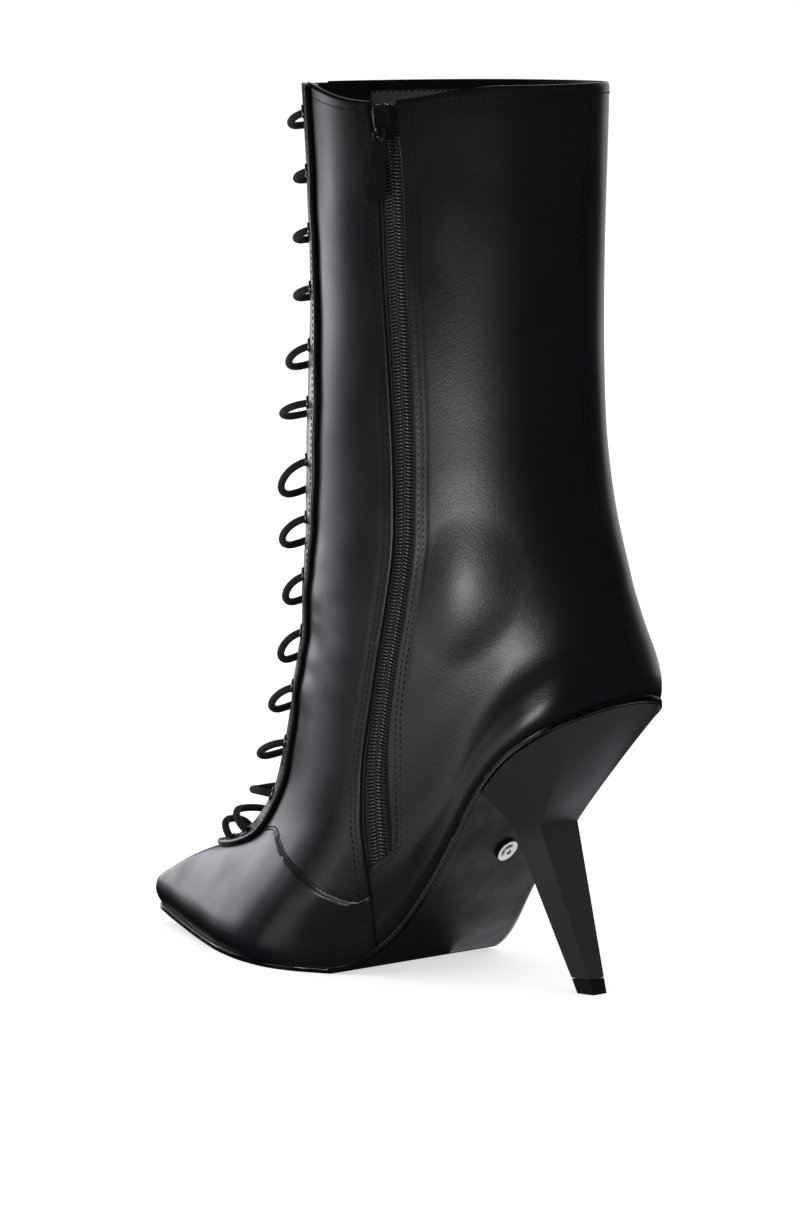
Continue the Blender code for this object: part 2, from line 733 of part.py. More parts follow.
def build_laces():
    """A bar of lace across each pair of eyelets, bowed off the front ridge and hanging a little."""
    stand = GAP + EYESTAY_THICKNESS + EYELET_LIFT + EYELET_HEIGHT + GAP + LACE_RADIUS
    rows, run = ridge_run()
    share = np.linspace(-1, 1, 9)
    middle = np.cos(math.pi / 2 * share)
    for number, ((length, side), (bow, sag)) in enumerate(zip(eyelet_places(), LACE_BARS), 1):
        foot_row = np.interp(length, run, rows)
        ends = [frame_at(foot_row, around_at_side(foot_row, sign * side))[2] for sign in (-1, 1)]
        path = []
        for across, near_middle in zip(share, middle):
            row = np.interp(length - sag * near_middle, run, rows)
            place = last_surface(row, around_at_side(row, across * side))
            out = ends[0] * (1 - across) + ends[1] * (1 + across)
            out = out / np.linalg.norm(out)
            path.append(place + out * (stand + (bow - GAP) * near_middle**0.8))
        tube(f"lace_{number:02d}", path, LACE_RADIUS, 6, lace_cord)


def heel_ring(height, lean, count, crease):
    """A four-sided ring of the stem: lean is 0 on the floor and 1 at the kink. Points run along the
    inner side, across the back and down the outer side, with the back corner at the crease."""

    def between(tip, kink):
        return tip + (kink - tip) * lean

    front_x = between(TIP_X - TIP_HALF_LENGTH, HEEL_BREAST_X)
    back_x = between(TIP_X + TIP_HALF_LENGTH, KINK_BACK_X)
    front_half = between(TIP_FRONT_HALF, KINK_FRONT_HALF)
    back_half = between(TIP_BACK_HALF, KINK_BACK_HALF)
    along = np.clip(np.arange(count) / crease, 0, 1)
    across = np.clip((np.arange(count) - crease) / (count - 1 - crease), 0, 1)
    x = front_x + (back_x - front_x) * along
    half = (front_half + (back_half - front_half) * along) * (1 - across) + back_half * 0.15 * across
    z = height - KINK_FRONT_DROP * lean * (1 - along)
    ys = np.concatenate([-half, half[::-1]])
    return np.stack([np.concatenate([x, x[::-1]]), ys, np.concatenate([z, z[::-1]])], -1)


def build_heel():
    """The covered heel: an upper block under the seat, a kink, and a stem that leans back."""
    back_rim = HEEL_LENGTH + SOLE_LEDGE - HEEL_INSET
    x = np.linspace(HEEL_BREAST_X, back_rim - HEEL_ROUNDING, 7)
    x = np.concatenate([x, back_rim - HEEL_ROUNDING * np.array([0.5, 0.18, 0])])
    inner, outer = half_widths(x, HEEL_INSET - SOLE_LEDGE)
    inner[-1] = outer[-1] = HEEL_BACK_FLAT / 2
    xs = np.concatenate([x, x[::-1]])
    ys = np.concatenate([-inner, outer[::-1]])
    seat = np.stack([xs, ys, sole_top(xs) - along_sole(xs, SOLE_THICKNESS + GAP)], -1)

    crease = 6
    tip_z = TOP_PIECE_HEIGHT + GAP
    tip = heel_ring(tip_z, tip_z / KINK_HEIGHT, len(x), crease)
    tip[:, 2] = tip_z
    kink = heel_ring(KINK_HEIGHT, 1, len(x), crease)
    rings = [tip, kink]
    for share in (0.35, 0.7):
        ring = kink + (seat - kink) * share
        ring[:, 1] = kink[:, 1] + (seat[:, 1] - kink[:, 1]) * share**1.25
        rings.append(ring)
    rings.append(seat)
    loft("heel", rings, heel_cover)

    top = heel_ring(TOP_PIECE_HEIGHT, TOP_PIECE_HEIGHT / KINK_HEIGHT, len(x), crease)
    top[:, 2] = TOP_PIECE_HEIGHT
    loft("top_piece", [heel_ring(0, 0, len(x), crease), top], hard_rubber)


def build_stud():
    """The round-headed rivet under the arch, square to the sole."""
    slope = (float(sole_top(STUD_X + 1)) - float(sole_top(STUD_X - 1))) / 2
    down = np.array([slope, 0, -1]) / math.hypot(slope, 1)
    forward = np.array([1, 0, slope]) / math.hypot(slope, 1)
    across = np.array([0, 1.0, 0])
    foot = np.array([STUD_X, STUD_Y, float(sole_top(STUD_X))]) + down * (SOLE_THICKNESS + STUD_GAP)
    profile = (
        # radius, height off the sole
        (0, STUD_HEIGHT),
        (STUD_RADIUS * 0.8, STUD_HEIGHT),
        (STUD_RADIUS, STUD_HEIGHT * 0.5),
        (STUD_RADIUS, 0),
        (0, 0),
    )
    turned("sole_stud", profile, STUD_SPOKES, (foot, across, forward, down), stud_metal)


def zip_strip(name, rows, shifts, out_near, out_far, material):
    """A band along the zip's middle line between two offsets from the upper's outer face, with its
    columns at these shifts behind that line."""
    arounds = np.array([[around_at_zip(row, shift) for shift in shifts] for row in rows])
    grid_rows = np.repeat(np.asarray(rows, float)[:, None], arounds.shape[1], 1)
    outer = offset_surface(grid_rows, arounds, out_far)
    inner = offset_surface(grid_rows, arounds, out_near)
    keep = np.ones((len(rows) - 1, len(shifts) - 1), bool)
    return shell_between(name, outer, inner, keep, material)


def build_zip():
    """The tape behind the slit and the closed coil that stands on it."""
    rows, zip_row = section_rows()
    low = row_at_height(lambda row: around_at_zip(row, 0), ZIP_BOTTOM_HEIGHT - ZIP_TAPE_BELOW_SLIT)
    high = row_at_height(lambda row: around_at_zip(row, 0), slider_height() - SLIDER_LENGTH / 2)
    tape_out = -(WALL + TAPE_GAP)
    tape_rows = np.concatenate([[low], rows[rows > low + 0.1][:-1], [LAST_ROW - 0.08]])
    tape_shifts = np.linspace(0.5, -0.5, 5) * ZIP_TAPE_WIDTH
    zip_strip("zip_tape", tape_rows, tape_shifts, tape_out - ZIP_TAPE_THICKNESS, tape_out, zip_fabric)
    between = rows[(rows > zip_row + 0.2) & (rows < high - 0.1)]
    coil_rows = np.concatenate([[zip_row + 0.1], between, [high - 0.04]])
    coil_out = tape_out + GAP
    coil_shifts = np.linspace(0.5, -0.5, 3) * COIL_WIDTH
    zip_strip("zip_coil", coil_rows, coil_shifts, coil_out, coil_out + COIL_HEIGHT, zip_nylon)


def slider_height():
    """Height of the slider's middle."""
    row = LAST_ROW
    top = float(last_surface(row, around_at_zip(row, 0))[2])
    return top - SLIDER_BELOW_COLLAR - SLIDER_LENGTH / 2


def slider_frame():
    """The slider's middle on the upper's outer face, and unit vectors across, up and out."""
    row = row_at_height(lambda r: around_at_zip(r, 0), slider_height())
    around = around_at_zip(row, 0)
    middle = last_surface(row, around)
    step = 0.3
    up = last_surface(row + step, around_at_zip(row + step, 0)) - last_surface(
        row - step, around_at_zip(row - step, 0)
    )
    up /= np.linalg.norm(up)
    out = frame_at(row, around)[2]
    out -= up * (out @ up)
    out /= np.linalg.norm(out)
    return middle, np.cross(out, up) * -1, up, out


def plate(name, corners, low, high, frame, material):
    """A flat piece: corners (across, up) between two heights, in a frame of its own."""
    middle, across, up, out = frame
    rings = [
        [middle + across * a + up * u + out * height for a, u in corners] for height in (low, high)
    ]
    count = len(corners)
    points = rings[0] + rings[1]
    faces = [list(range(count)), list(range(count, 2 * count))]
    for i in range(count):
        j = (i + 1) % count
        faces.append([i, j, count + j, count + i])
    return face_out(new_object(name, points, faces, material))


def bar_along(name, profile, half_width, frame, material):
    """A piece with the same outline (up, out) right across, half_width each way."""
    middle, across, up, out = frame
    points = [
        middle + up * u + out * o + across * side * half_width
        for side in (-1, 1)
        for u, o in profile
    ]
    count = len(profile)
    faces = [list(range(count)), list(range(count, 2 * count))]
    for i in range(count):
        j = (i + 1) % count
        faces.append([i, j, count + j, count + i])
    return face_out(new_object(name, points, faces, material))


def build_slider():
    """The slider's top plate with the bridge that carries the pull tab, and the tab hung in it."""
    frame = slider_frame()
    base = SLIDER_BASE
    top = base + SLIDER_THICKNESS
    half, long = SLIDER_WIDTH / 2, SLIDER_LENGTH / 2
    corners = (
        (-half * 0.75, -long),
        (half * 0.75, -long),
        (half, -long * 0.4),
        (half, long * 0.7),
        (half * 0.5, long),
        (-half * 0.5, long),
        (-half, long * 0.7),
        (-half, -long * 0.4),
    )
    body = plate("slider_plate", corners, base, top, frame, slider_metal)
    reach = BRIDGE_LENGTH / 2
    inside = reach - BRIDGE_BAR
    over = top + BRIDGE_HEIGHT
    sunk = top - SLIDER_THICKNESS / 2
    bridge_profile = (
        (-reach, sunk),
        (-inside, sunk),
        (-inside, over - BRIDGE_BAR),
        (inside, over - BRIDGE_BAR),
        (inside, sunk),
        (reach, sunk),
        (reach, over - BRIDGE_BAR * 0.4),
        (reach - BRIDGE_BAR * 0.6, over),
        (-reach + BRIDGE_BAR * 0.6, over),
        (-reach, over - BRIDGE_BAR * 0.4),
    )
    bridge = bar_along("bridge", bridge_profile, BRIDGE_WIDTH / 2, frame, slider_metal)
    join_all("zip_slider", [body, bridge])
    build_pull_tab(frame, top, inside)


def build_pull_tab(frame, top, inside):
    """The tab: a round bar through the bridge, two arms beside it and below them a waisted plate
    that leans forward as it hangs."""
    middle, across, up, out = frame
    bar_radius = PULL_THICKNESS / 2
    pin_out = top + (BRIDGE_HEIGHT - BRIDGE_BAR) / 2
    pin_up = -inside + bar_radius + GAP
    pin = middle + up * pin_up + out * pin_out
    hung = (pin, across, up, out)
    eye_half = PULL_EYE_WIDTH / 2
    arm_inner = BRIDGE_WIDTH / 2 + GAP
    ring_low = -(bar_radius + PULL_EYE_LENGTH)
    plate_top = ring_low - GAP
    slab = bar_radius
    end = -PULL_LENGTH + bar_radius
    waist = plate_top + (end - plate_top) * 0.3
    right = (
        (PULL_WAIST_WIDTH / 2, waist),
        (PULL_WAIST_WIDTH / 2 * 1.12, waist + (end - waist) * 0.35),
        (PULL_END_WIDTH / 2, end + PULL_END_WIDTH * 0.22),
        (PULL_END_WIDTH / 2 * 0.92, end),
    )
    left = tuple((-a, u) for a, u in reversed(right))
    shoulder = eye_half + GAP / 2
    corners = ((-shoulder, ring_low), (shoulder, ring_low), *right, *left)
    corners = [(a - PULL_LEAN * (ring_low - u), u) for a, u in corners]
    body = plate("tab_plate", corners, -slab, slab, hung, slider_metal)
    pieces = [body]
    for side in (-1, 1):
        arm = (
            (side * arm_inner, ring_low - 0.5),
            (side * eye_half, ring_low - 0.5),
            (side * eye_half, bar_radius * 0.6),
            (side * arm_inner, bar_radius * 0.6),
        )
        pieces.append(plate("tab_arm", arm, -slab * 0.9, slab * 0.9, hung, slider_metal))
    bar_path = [pin - across * (eye_half - 0.3), pin + across * (eye_half - 0.3)]
    pieces.append(tube("tab_bar", bar_path, bar_radius * 0.95, 8, slider_metal))
    return join_all("pull_tab", pieces)


for old in list(bpy.data.objects):
    bpy.data.objects.remove(old)

boot = bpy.data.collections.new("lace_up_ankle_boot")
bpy.context.scene.collection.children.link(boot)

leather = finish("leather", (0.012, 0.012, 0.014), 0.38)
lining = finish("lining", (0.02, 0.02, 0.021), 0.8)
heel_cover = finish("heel_cover", (0.014, 0.014, 0.016), 0.5)
sole_rubber = finish("sole_rubber", (0.010, 0.010, 0.011), 0.6)
hard_rubber = finish("hard_rubber", (0.008, 0.008, 0.009), 0.45)
eyelet_metal = finish("eyelet_metal", (0.30, 0.30, 0.32), 0.3, 1.0)
stud_metal = finish("stud_metal", (0.62, 0.61, 0.58), 0.25, 1.0)
slider_metal = finish("slider_metal", (0.02, 0.02, 0.022), 0.2, 0.6)
lace_cord = finish("lace_cord", (0.008, 0.008, 0.009), 0.8)
zip_fabric = finish("zip_fabric", (0.010, 0.010, 0.011), 0.9)
zip_nylon = finish("zip_nylon", (0.010, 0.010, 0.012), 0.35)

build_outsole()
build_insole()
build_upper()
build_eyestay()
build_tongue()
build_eyelets()
build_laces()
build_heel()
build_stud()
build_zip()
build_slider()
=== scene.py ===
"""Lace up ankle boot, dressed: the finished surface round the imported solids.

X runs from the toe (-) to the heel (+), Y from the inner side (-) to the outer side (+), Z is up.
Shapes are worked out in millimetres and written to Blender in metres.
"""

import math

import bpy
import numpy as np
from mathutils import Matrix, Vector


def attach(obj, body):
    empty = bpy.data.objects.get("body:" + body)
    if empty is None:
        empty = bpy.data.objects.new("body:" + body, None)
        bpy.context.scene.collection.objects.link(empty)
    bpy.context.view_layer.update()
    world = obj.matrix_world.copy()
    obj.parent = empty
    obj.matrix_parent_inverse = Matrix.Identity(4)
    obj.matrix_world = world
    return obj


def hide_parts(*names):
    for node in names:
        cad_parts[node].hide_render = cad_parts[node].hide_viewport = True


MM = 0.001
PI = math.pi

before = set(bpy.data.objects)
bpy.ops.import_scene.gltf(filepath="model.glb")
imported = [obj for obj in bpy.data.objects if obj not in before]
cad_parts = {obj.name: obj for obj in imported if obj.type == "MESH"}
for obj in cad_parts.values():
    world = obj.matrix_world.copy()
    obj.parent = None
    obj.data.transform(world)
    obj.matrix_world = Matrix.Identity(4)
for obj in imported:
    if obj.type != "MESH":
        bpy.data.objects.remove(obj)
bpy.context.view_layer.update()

# Sizes of the last, the shaft and the pieces, as the solids have them
TOE_LENGTH, HEEL_LENGTH = 103.5, 127.0
BALL_INNER, BALL_OUTER = 42.0, 41.0
SEAT_HEIGHT, TOE_SPRING, INSTEP_HEIGHT, BOOT_HEIGHT = 103.0, 5.2, 65.0, 308.4
COLLAR_FRONT_DROP, COLLAR_INNER_DIP = 4.6, 5.3
COLLAR_DIP_FROM, COLLAR_DIP_TO = 0.25, 0.81
SHAFT_FRONT, SHAFT_BACK, SHAFT_INNER, SHAFT_OUTER = 25.0, 104.1, 30.0, 31.0
WALL, GAP = 1.8, 0.3
SOLE_THICKNESS, SOLE_LEDGE = 1.8, 1.0
TREAD_AHEAD, TREAD_BEHIND = 26.0, 18.0
INSOLE_THICKNESS, INSOLE_CLEARANCE = 2.0, 1.8
THROAT_HALF, EYESTAY_OUTER, EYESTAY_THICKNESS = 5.5, 16.5, 1.0
TONGUE_THICKNESS = 1.2
EYELET_SIDE, EYELETS_ABOVE_THROAT, EYELETS_BELOW_COLLAR = 9.8, 3.0, 10.0
TOE_PAIR_BELOW, TOE_PAIR_SIDE = 7.5, 5.4
EYELET_RING, EYELET_ROLL = 1.95, 0.5
LACE_RADIUS, LACE_TOP = 1.3, 4.25
ZIP_BOTTOM_HEIGHT, ZIP_TAPE_WIDTH, TAPE_GAP = 38.0, 22.0, 0.5
COIL_HEIGHT, COIL_PITCH = 1.9, 1.2
SLIDER_LENGTH, SLIDER_WIDTH, SLIDER_THICKNESS, SLIDER_BELOW_COLLAR = 12.5, 8.6, 1.6, 0.4
SLIDER_BASE = -(WALL + TAPE_GAP) + GAP + COIL_HEIGHT + GAP
BRIDGE_LENGTH, BRIDGE_HEIGHT, BRIDGE_BAR = 8.5, 3.4, 1.0
PULL_LENGTH, PULL_THICKNESS, PULL_LEAN, PULL_RING_LOW = 25.0, 1.2, 0.28, -4.8
STUD_RADIUS, STUD_X, STUD_Y = 4.3, 64.5, 1.0
HEEL_BREAST_X, HEEL_ROUNDING, HEEL_INSET = 82.0, 9.0, 0.8
KINK_HEIGHT, KINK_FRONT_DROP, KINK_BACK_X = 56.5, 3.0, 92.3
KINK_FRONT_HALF, KINK_BACK_HALF = 10.8, 9.2
TIP_X, TIP_HALF_LENGTH, TIP_FRONT_HALF, TIP_BACK_HALF = 108.5, 3.4, 4.1, 3.2
TOP_PIECE_HEIGHT = 5.0

# Thickness of a leather panel over the lining, and how far its stitch rows lie from the slit
PANEL = 1.0
FRONT_STITCHES, BACK_STITCHES = (2.6, 4.5), (2.5, 4.6)

# Rows of the throat's foot and the slit's foot, and the middle of the ankle's swelling
THROAT_ROW, FOOT_ROW = 7.6, 5.93
ANKLE_X, ANKLE_Z = 74.0, 137.0

# Half-width of the tongue, and how far the panels stop from the middle of the back, in turns
TONGUE_HALF = 15.5
BACK_MARGIN = 0.0003

# One loop of lace for each pair of eyelets, from the toe up: how far it bows off the ridge, and how
# far it hangs down the leg at its middle
LACE_BARS = (
    # bow, sag
    (2.8, -2.5),
    (4.0, -4.0),
    (4.2, 1.5),
    (5.8, 6.5),
    (4.8, 8.5),
    (4.0, 10.0),
    (4.0, 9.0),
    (6.0, 9.5),
    (7.0, 12.0),
    (7.0, 5.0),
    (5.0, 8.0),
    (2.5, 4.0),
    (2.5, 4.0),
    (1.5, 3.5),
    (2.5, 5.0),
)

# Plan outline of the feather line, as shares of the length and of the ball's half-widths
OUTLINE = (
    # along, inner, outer
    (0.000, 0.000, 0.000),
    (0.013, 0.330, 0.340),
    (0.052, 0.565, 0.580),
    (0.104, 0.650, 0.665),
    (0.182, 0.655, 0.660),
    (0.269, 0.640, 0.622),
    (0.340, 0.665, 0.690),
    (0.421, 0.745, 0.905),
    (0.477, 0.860, 0.985),
    (0.529, 0.970, 1.000),
    (0.573, 1.000, 0.965),
    (0.633, 0.950, 0.880),
    (0.712, 0.800, 0.690),
    (0.811, 0.545, 0.430),
    (0.894, 0.320, 0.245),
    (0.963, 0.140, 0.120),
    (0.989, 0.073, 0.070),
    (1.000, 0.000, 0.000),
)

# Rise of the arch, as shares of the way behind the tread and of the seat's rise
ARCH = (
    # along, rise
    (0.000, 0.000),
    (0.055, 0.016),
    (0.128, 0.065),
    (0.239, 0.165),
    (0.312, 0.260),
    (0.376, 0.352),
    (0.459, 0.490),
    (0.523, 0.601),
    (0.587, 0.690),
    (0.651, 0.762),
    (0.716, 0.818),
    (0.789, 0.868),
    (0.862, 0.915),
    (0.936, 0.960),
    (1.000, 1.000),
)

# Sections of the upper from the feather line to the top line
SECTIONS = (
    # front_x, front_rise, shaft_rise, back_x, back_rise, morph, sag, width
    (1.000, 0.000, 0.000, 1.000, 0.000, 0.00, 1.00, 1.00),
    (1.032, 0.046, 0.000, 1.034, 0.010, 0.00, 1.00, 1.09),
    (1.045, 0.098, 0.000, 1.050, 0.022, 0.02, 0.99, 1.12),
    (1.025, 0.158, 0.000, 1.055, 0.037, 0.06, 0.96, 1.08),
    (0.955, 0.218, 0.000, 1.042, 0.054, 0.14, 0.91, 0.98),
    (0.841, 0.296, 0.000, 1.008, 0.074, 0.26, 0.83, 0.83),
    (0.713, 0.375, 0.000, 0.958, 0.094, 0.40, 0.73, 0.63),
    (0.581, 0.442, 0.000, 0.895, 0.113, 0.55, 0.60, 0.44),
    (0.451, 0.519, 0.000, 0.823, 0.135, 0.70, 0.47, 0.29),
    (0.344, 0.631, 0.000, 0.738, 0.160, 0.83, 0.34, 0.19),
    (0.251, 0.794, 0.000, 0.641, 0.187, 0.92, 0.22, 0.13),
    (0.191, 1.000, 0.000, 0.536, 0.222, 1.00, 0.12, 0.11),
    (0.140, 1.000, 0.063, 0.409, 0.261, 1.00, 0.05, 0.10),
    (0.094, 1.000, 0.135, 0.283, 0.305, 1.00, 0.00, 0.08),
    (0.058, 1.000, 0.211, 0.177, 0.355, 1.00, 0.00, 0.06),
    (0.040, 1.000, 0.304, 0.084, 0.419, 1.00, 0.00, 0.03),
    (0.027, 1.000, 0.401, 0.030, 0.493, 1.00, 0.00, 0.00),
    (0.013, 1.000, 0.549, 0.000, 0.601, 1.00, 0.00, 0.00),
    (0.000, 1.000, 0.717, 0.008, 0.724, 1.00, 0.00, 0.00),
    (0.013, 1.000, 0.844, 0.042, 0.847, 1.00, 0.00, 0.03),
    (0.051, 1.000, 1.000, 0.093, 1.000, 1.00, 0.00, 0.08),
)
LAST_ROW = len(SECTIONS) - 1

# Middle of the zip, as shares of the height and of the way from the shaft's front to its back
ZIP_LINE = (
    # height, along
    (0.000, 0.492),
    (0.130, 0.484),
    (0.230, 0.464),
    (0.330, 0.494),
    (0.427, 0.540),
    (0.480, 0.559),
    (0.540, 0.560),
    (0.670, 0.547),
    (0.800, 0.526),
    (0.880, 0.518),
    (1.000, 0.486),
)

# Seam between vamp and quarters on the inner side; the outer side mirrors it
VAMP_SEAM = (
    # around, row
    (0.300, 0.00),
    (0.420, 3.75),
    (0.445, 4.40),
    (0.464, 4.52),
    (0.478, 4.72),
    (0.503, 5.02),
    (0.549, 5.72),
    (0.598, 6.40),
    (0.641, 7.05),
    (0.696, 7.85),
    (0.745, 8.00),
    (0.860, 7.55),
    (1.000, 7.30),
)

# The slit's edges, in millimetres before and behind the zip's middle; below the zip's foot the front
# column is the seam between front and rear panels
SLIT = (
    # row, front, back
    (0.0, 3.7, 0.0),
    (2.0, 3.7, 0.0),
    (4.0, 3.9, 0.0),
    (5.2, 4.2, 3.0),
    (5.9, 4.8, 4.6),
    (6.6, 5.5, 5.4),
    (7.3, 6.1, 6.0),
    (8.4, 5.9, 6.2),
    (9.6, 5.8, 5.3),
    (11.2, 4.8, 5.0),
    (13.0, 4.4, 4.7),
    (15.0, 4.3, 4.5),
    (16.5, 5.0, 4.6),
    (17.9, 6.1, 4.7),
    (18.9, 6.3, 5.0),
    (19.6, 6.8, 5.1),
    (20.0, 8.2, 5.2),
)


# Extra width of the stay along the ridge from the throat
STAY_WIDENING = (
    # length, extra
    (0.0, 0.0),
    (105.0, 0.0),
    (135.0, 2.0),
    (150.0, 2.4),
    (168.0, 2.3),
    (185.0, 1.5),
    (207.0, 0.0),
    (260.0, 0.0),
)


def smooth(table, column, at):
    """Cubic Hermite curve through the table's rows, with the slopes of its neighbours, in column."""
    rows = np.asarray(table, float)
    x, y = rows[:, 0], rows[:, column]
    chord = np.diff(y) / np.diff(x)
    slope = np.empty_like(y)
    slope[0], slope[-1] = chord[0], chord[-1]
    before, after = np.diff(x)[:-1], np.diff(x)[1:]
    slope[1:-1] = (chord[:-1] * after + chord[1:] * before) / (before + after)
    at = np.clip(np.asarray(at, float), x[0], x[-1])
    left = np.clip(np.searchsorted(x, at, side="right") - 1, 0, len(x) - 2)
    step = x[left + 1] - x[left]
    t = (at - x[left]) / step
    return (
        (2 * t**3 - 3 * t**2 + 1) * y[left]
        + (t**3 - 2 * t**2 + t) * step * slope[left]
        + (3 * t**2 - 2 * t**3) * y[left + 1]
        + (t**3 - t**2) * step * slope[left + 1]
    )


def ease(value, low, high):
    """0 below low, 1 above high, and 3t^2 - 2t^3 between."""
    t = np.clip((np.asarray(value, float) - low) / (high - low), 0, 1)
    return t * t * (3 - 2 * t)


def bump_at(value, middle, half):
    """A soft ridge: (1 - t^2)^2 with t the distance from middle over half, 0 outside."""
    t = np.clip(np.abs((np.asarray(value, float) - middle) / half), 0, 1)
    return (1 - t * t) ** 2


def unit(vectors):
    """The same vectors at length 1."""
    return vectors / np.linalg.norm(vectors, axis=-1, keepdims=True)


def square_to(vectors, out):
    """What is left of the vectors square to out, at length 1."""
    return unit(vectors - out * np.einsum("ij,ij->i", vectors, out)[:, None])


def run_along(points):
    """Length of the path from its start to each of its points."""
    return np.concatenate([[0], np.cumsum(np.linalg.norm(np.diff(points, axis=0), axis=1))])


def steady(value):
    """A function that gives this value everywhere."""
    return lambda at: np.full_like(at, value)


def turn_of(along):
    """The turn, 0 to 1, whose cosine gives this share of the length."""
    return np.arccos(1 - 2 * np.clip(along, 0, 1)) / PI


OUTLINE_BY_TURN = [(turn_of(along), inner, outer) for along, inner, outer in OUTLINE]
SECTIONS_BY_ROW = [(row, *values) for row, values in enumerate(SECTIONS)]


def outline_share(turn, outer_side):
    """Half-width of the feather line as a share of the ball's, at this turn from heel to toe."""
    return smooth(OUTLINE_BY_TURN, 2 if outer_side else 1, turn)


def sole_top(x):
    """Height of the sole's upper face: flat tread, a parabola at the toe, the arch behind."""
    x = np.asarray(x, float)
    toe = np.clip((-TREAD_AHEAD - x) / (TOE_LENGTH - TREAD_AHEAD), 0, None)
    heel = (x - TREAD_BEHIND) / (HEEL_LENGTH - TREAD_BEHIND)
    rise = smooth(ARCH, 1, heel) * (SEAT_HEIGHT - SOLE_THICKNESS)
    end_slope = (ARCH[-1][1] - ARCH[-2][1]) / (ARCH[-1][0] - ARCH[-2][0])
    rise = rise + np.clip(heel - 1, 0, None) * end_slope * (SEAT_HEIGHT - SOLE_THICKNESS)
    return SOLE_THICKNESS + TOE_SPRING * toe**2 + rise


def along_sole(x, distance):
    """A distance square to the sole, as a height at x."""
    slope = sole_top(x + 0.5) - sole_top(x - 0.5)
    return distance * np.sqrt(1 + slope**2)


def half_widths(x, inset):
    """Inner and outer half-widths of the sole's outline at x, moved in by inset."""
    length = HEEL_LENGTH + TOE_LENGTH - 2 * inset
    turn = turn_of((HEEL_LENGTH - inset - x) / length)
    ends = np.clip(np.sin(PI * turn) * 2.2, 0, 1)
    inner = outline_share(turn, False) * BALL_INNER - inset * ends
    outer = outline_share(turn, True) * BALL_OUTER - inset * ends
    return inner, outer


def last_surface(row, around):
    """Outer face of the upper. row runs from the feather line (0) to the top line (LAST_ROW); around
    runs from the back (0) along the inner side to the front (1) and back along the outer side (2).
    Each section is a sole outline that morphs to the shaft's oval, between a front and a back point."""
    row, around = np.broadcast_arrays(np.asarray(row, float), np.asarray(around, float))
    outer_side = around > 1
    turn = np.where(outer_side, 2 - around, around)
    front_x, front_rise, shaft_rise, back_x, back_rise, morph, sag, width = (
        smooth(SECTIONS_BY_ROW, column, row) for column in range(1, 9)
    )
    front = -(SHAFT_FRONT + front_x * (TOE_LENGTH - SHAFT_FRONT))
    back = SHAFT_BACK + back_x * (HEEL_LENGTH - SHAFT_BACK)
    toe_z = sole_top(-TOE_LENGTH)
    top_front = BOOT_HEIGHT - COLLAR_FRONT_DROP
    front_z = toe_z + front_rise * (INSTEP_HEIGHT - toe_z) + shaft_rise * (top_front - INSTEP_HEIGHT)
    back_z = SEAT_HEIGHT + back_rise * (BOOT_HEIGHT - SEAT_HEIGHT)

    along = (1 - np.cos(PI * turn)) / 2
    x = back + along * (front - back)
    feather_x = HEEL_LENGTH - along * (HEEL_LENGTH + TOE_LENGTH)
    feather_chord = SEAT_HEIGHT + along * (toe_z - SEAT_HEIGHT)
    z = back_z + along * (front_z - back_z) - sag * (feather_chord - sole_top(feather_x))
    near_top = np.clip((row - LAST_ROW + 3) / 3, 0, 1) ** 2
    dip = np.clip((turn - COLLAR_DIP_FROM) / (COLLAR_DIP_TO - COLLAR_DIP_FROM), 0, 1)
    z = z - np.where(outer_side, 0, COLLAR_INNER_DIP) * near_top * np.sin(PI * dip) ** 2

    keel = 0.8 + 0.8 * along**2 * (3 - 2 * along)
    oval = np.sin(PI * np.clip(turn, 0, 1)) ** keel
    sole = np.where(outer_side, outline_share(turn, True), outline_share(turn, False))
    share = sole + morph * (oval - sole)
    ball = np.where(outer_side, BALL_OUTER, BALL_INNER)
    shaft = np.where(outer_side, SHAFT_OUTER, SHAFT_INNER)
    y = np.where(outer_side, 1, -1) * share * (shaft + width * (ball - shaft))
    return np.stack([x, y, z], -1)


def last_normal(row, around):
    """Unit normal of last_surface, outwards, from differences along both parameters."""
    small_row, small_turn = 0.05, 0.003
    row, around = np.broadcast_arrays(np.asarray(row, float), np.asarray(around, float))
    up = last_surface(np.clip(row + small_row, 0, LAST_ROW), around) - last_surface(
        np.clip(row - small_row, 0, LAST_ROW), around
    )
    ahead = last_surface(row, (around + small_turn) % 2) - last_surface(row, (around - small_turn) % 2)
    normal = np.cross(up, ahead)
    return unit(normal)


# Lookups on the surface: where a line lies in each section
ROWS = np.linspace(0, LAST_ROW, 481)


def zip_x(height):
    """Middle of the zip at this height."""
    share = smooth(ZIP_LINE, 1, height / BOOT_HEIGHT)
    return share * (SHAFT_BACK + SHAFT_FRONT) - SHAFT_FRONT


def zip_lookup(shift):
    """For every one of ROWS, the around that lies shift millimetres behind the zip's middle."""
    arounds = np.linspace(0.25, 0.75, 240)
    points = last_surface(ROWS[:, None], arounds[None])
    behind = points[..., 0] - zip_x(points[..., 2])
    return np.array([np.interp(-shift, -line, arounds) for line in behind])


SIDES = np.linspace(0, 26, 105)
_turns = np.linspace(1.0, 0.5, 300)
_inner_y = np.abs(last_surface(ROWS[:, None], _turns[None])[..., 1])
_outer_y = np.abs(last_surface(ROWS[:, None], 2 - _turns[None])[..., 1])
INNER_FLANK = np.array([np.interp(SIDES, line, _turns) for line in _inner_y])
OUTER_FLANK = np.array([np.interp(SIDES, line, 2 - _turns) for line in _outer_y])
ZIP_MIDDLE = zip_lookup(0.0)
ZIP_SPREAD = zip_lookup(-10.0) - ZIP_MIDDLE


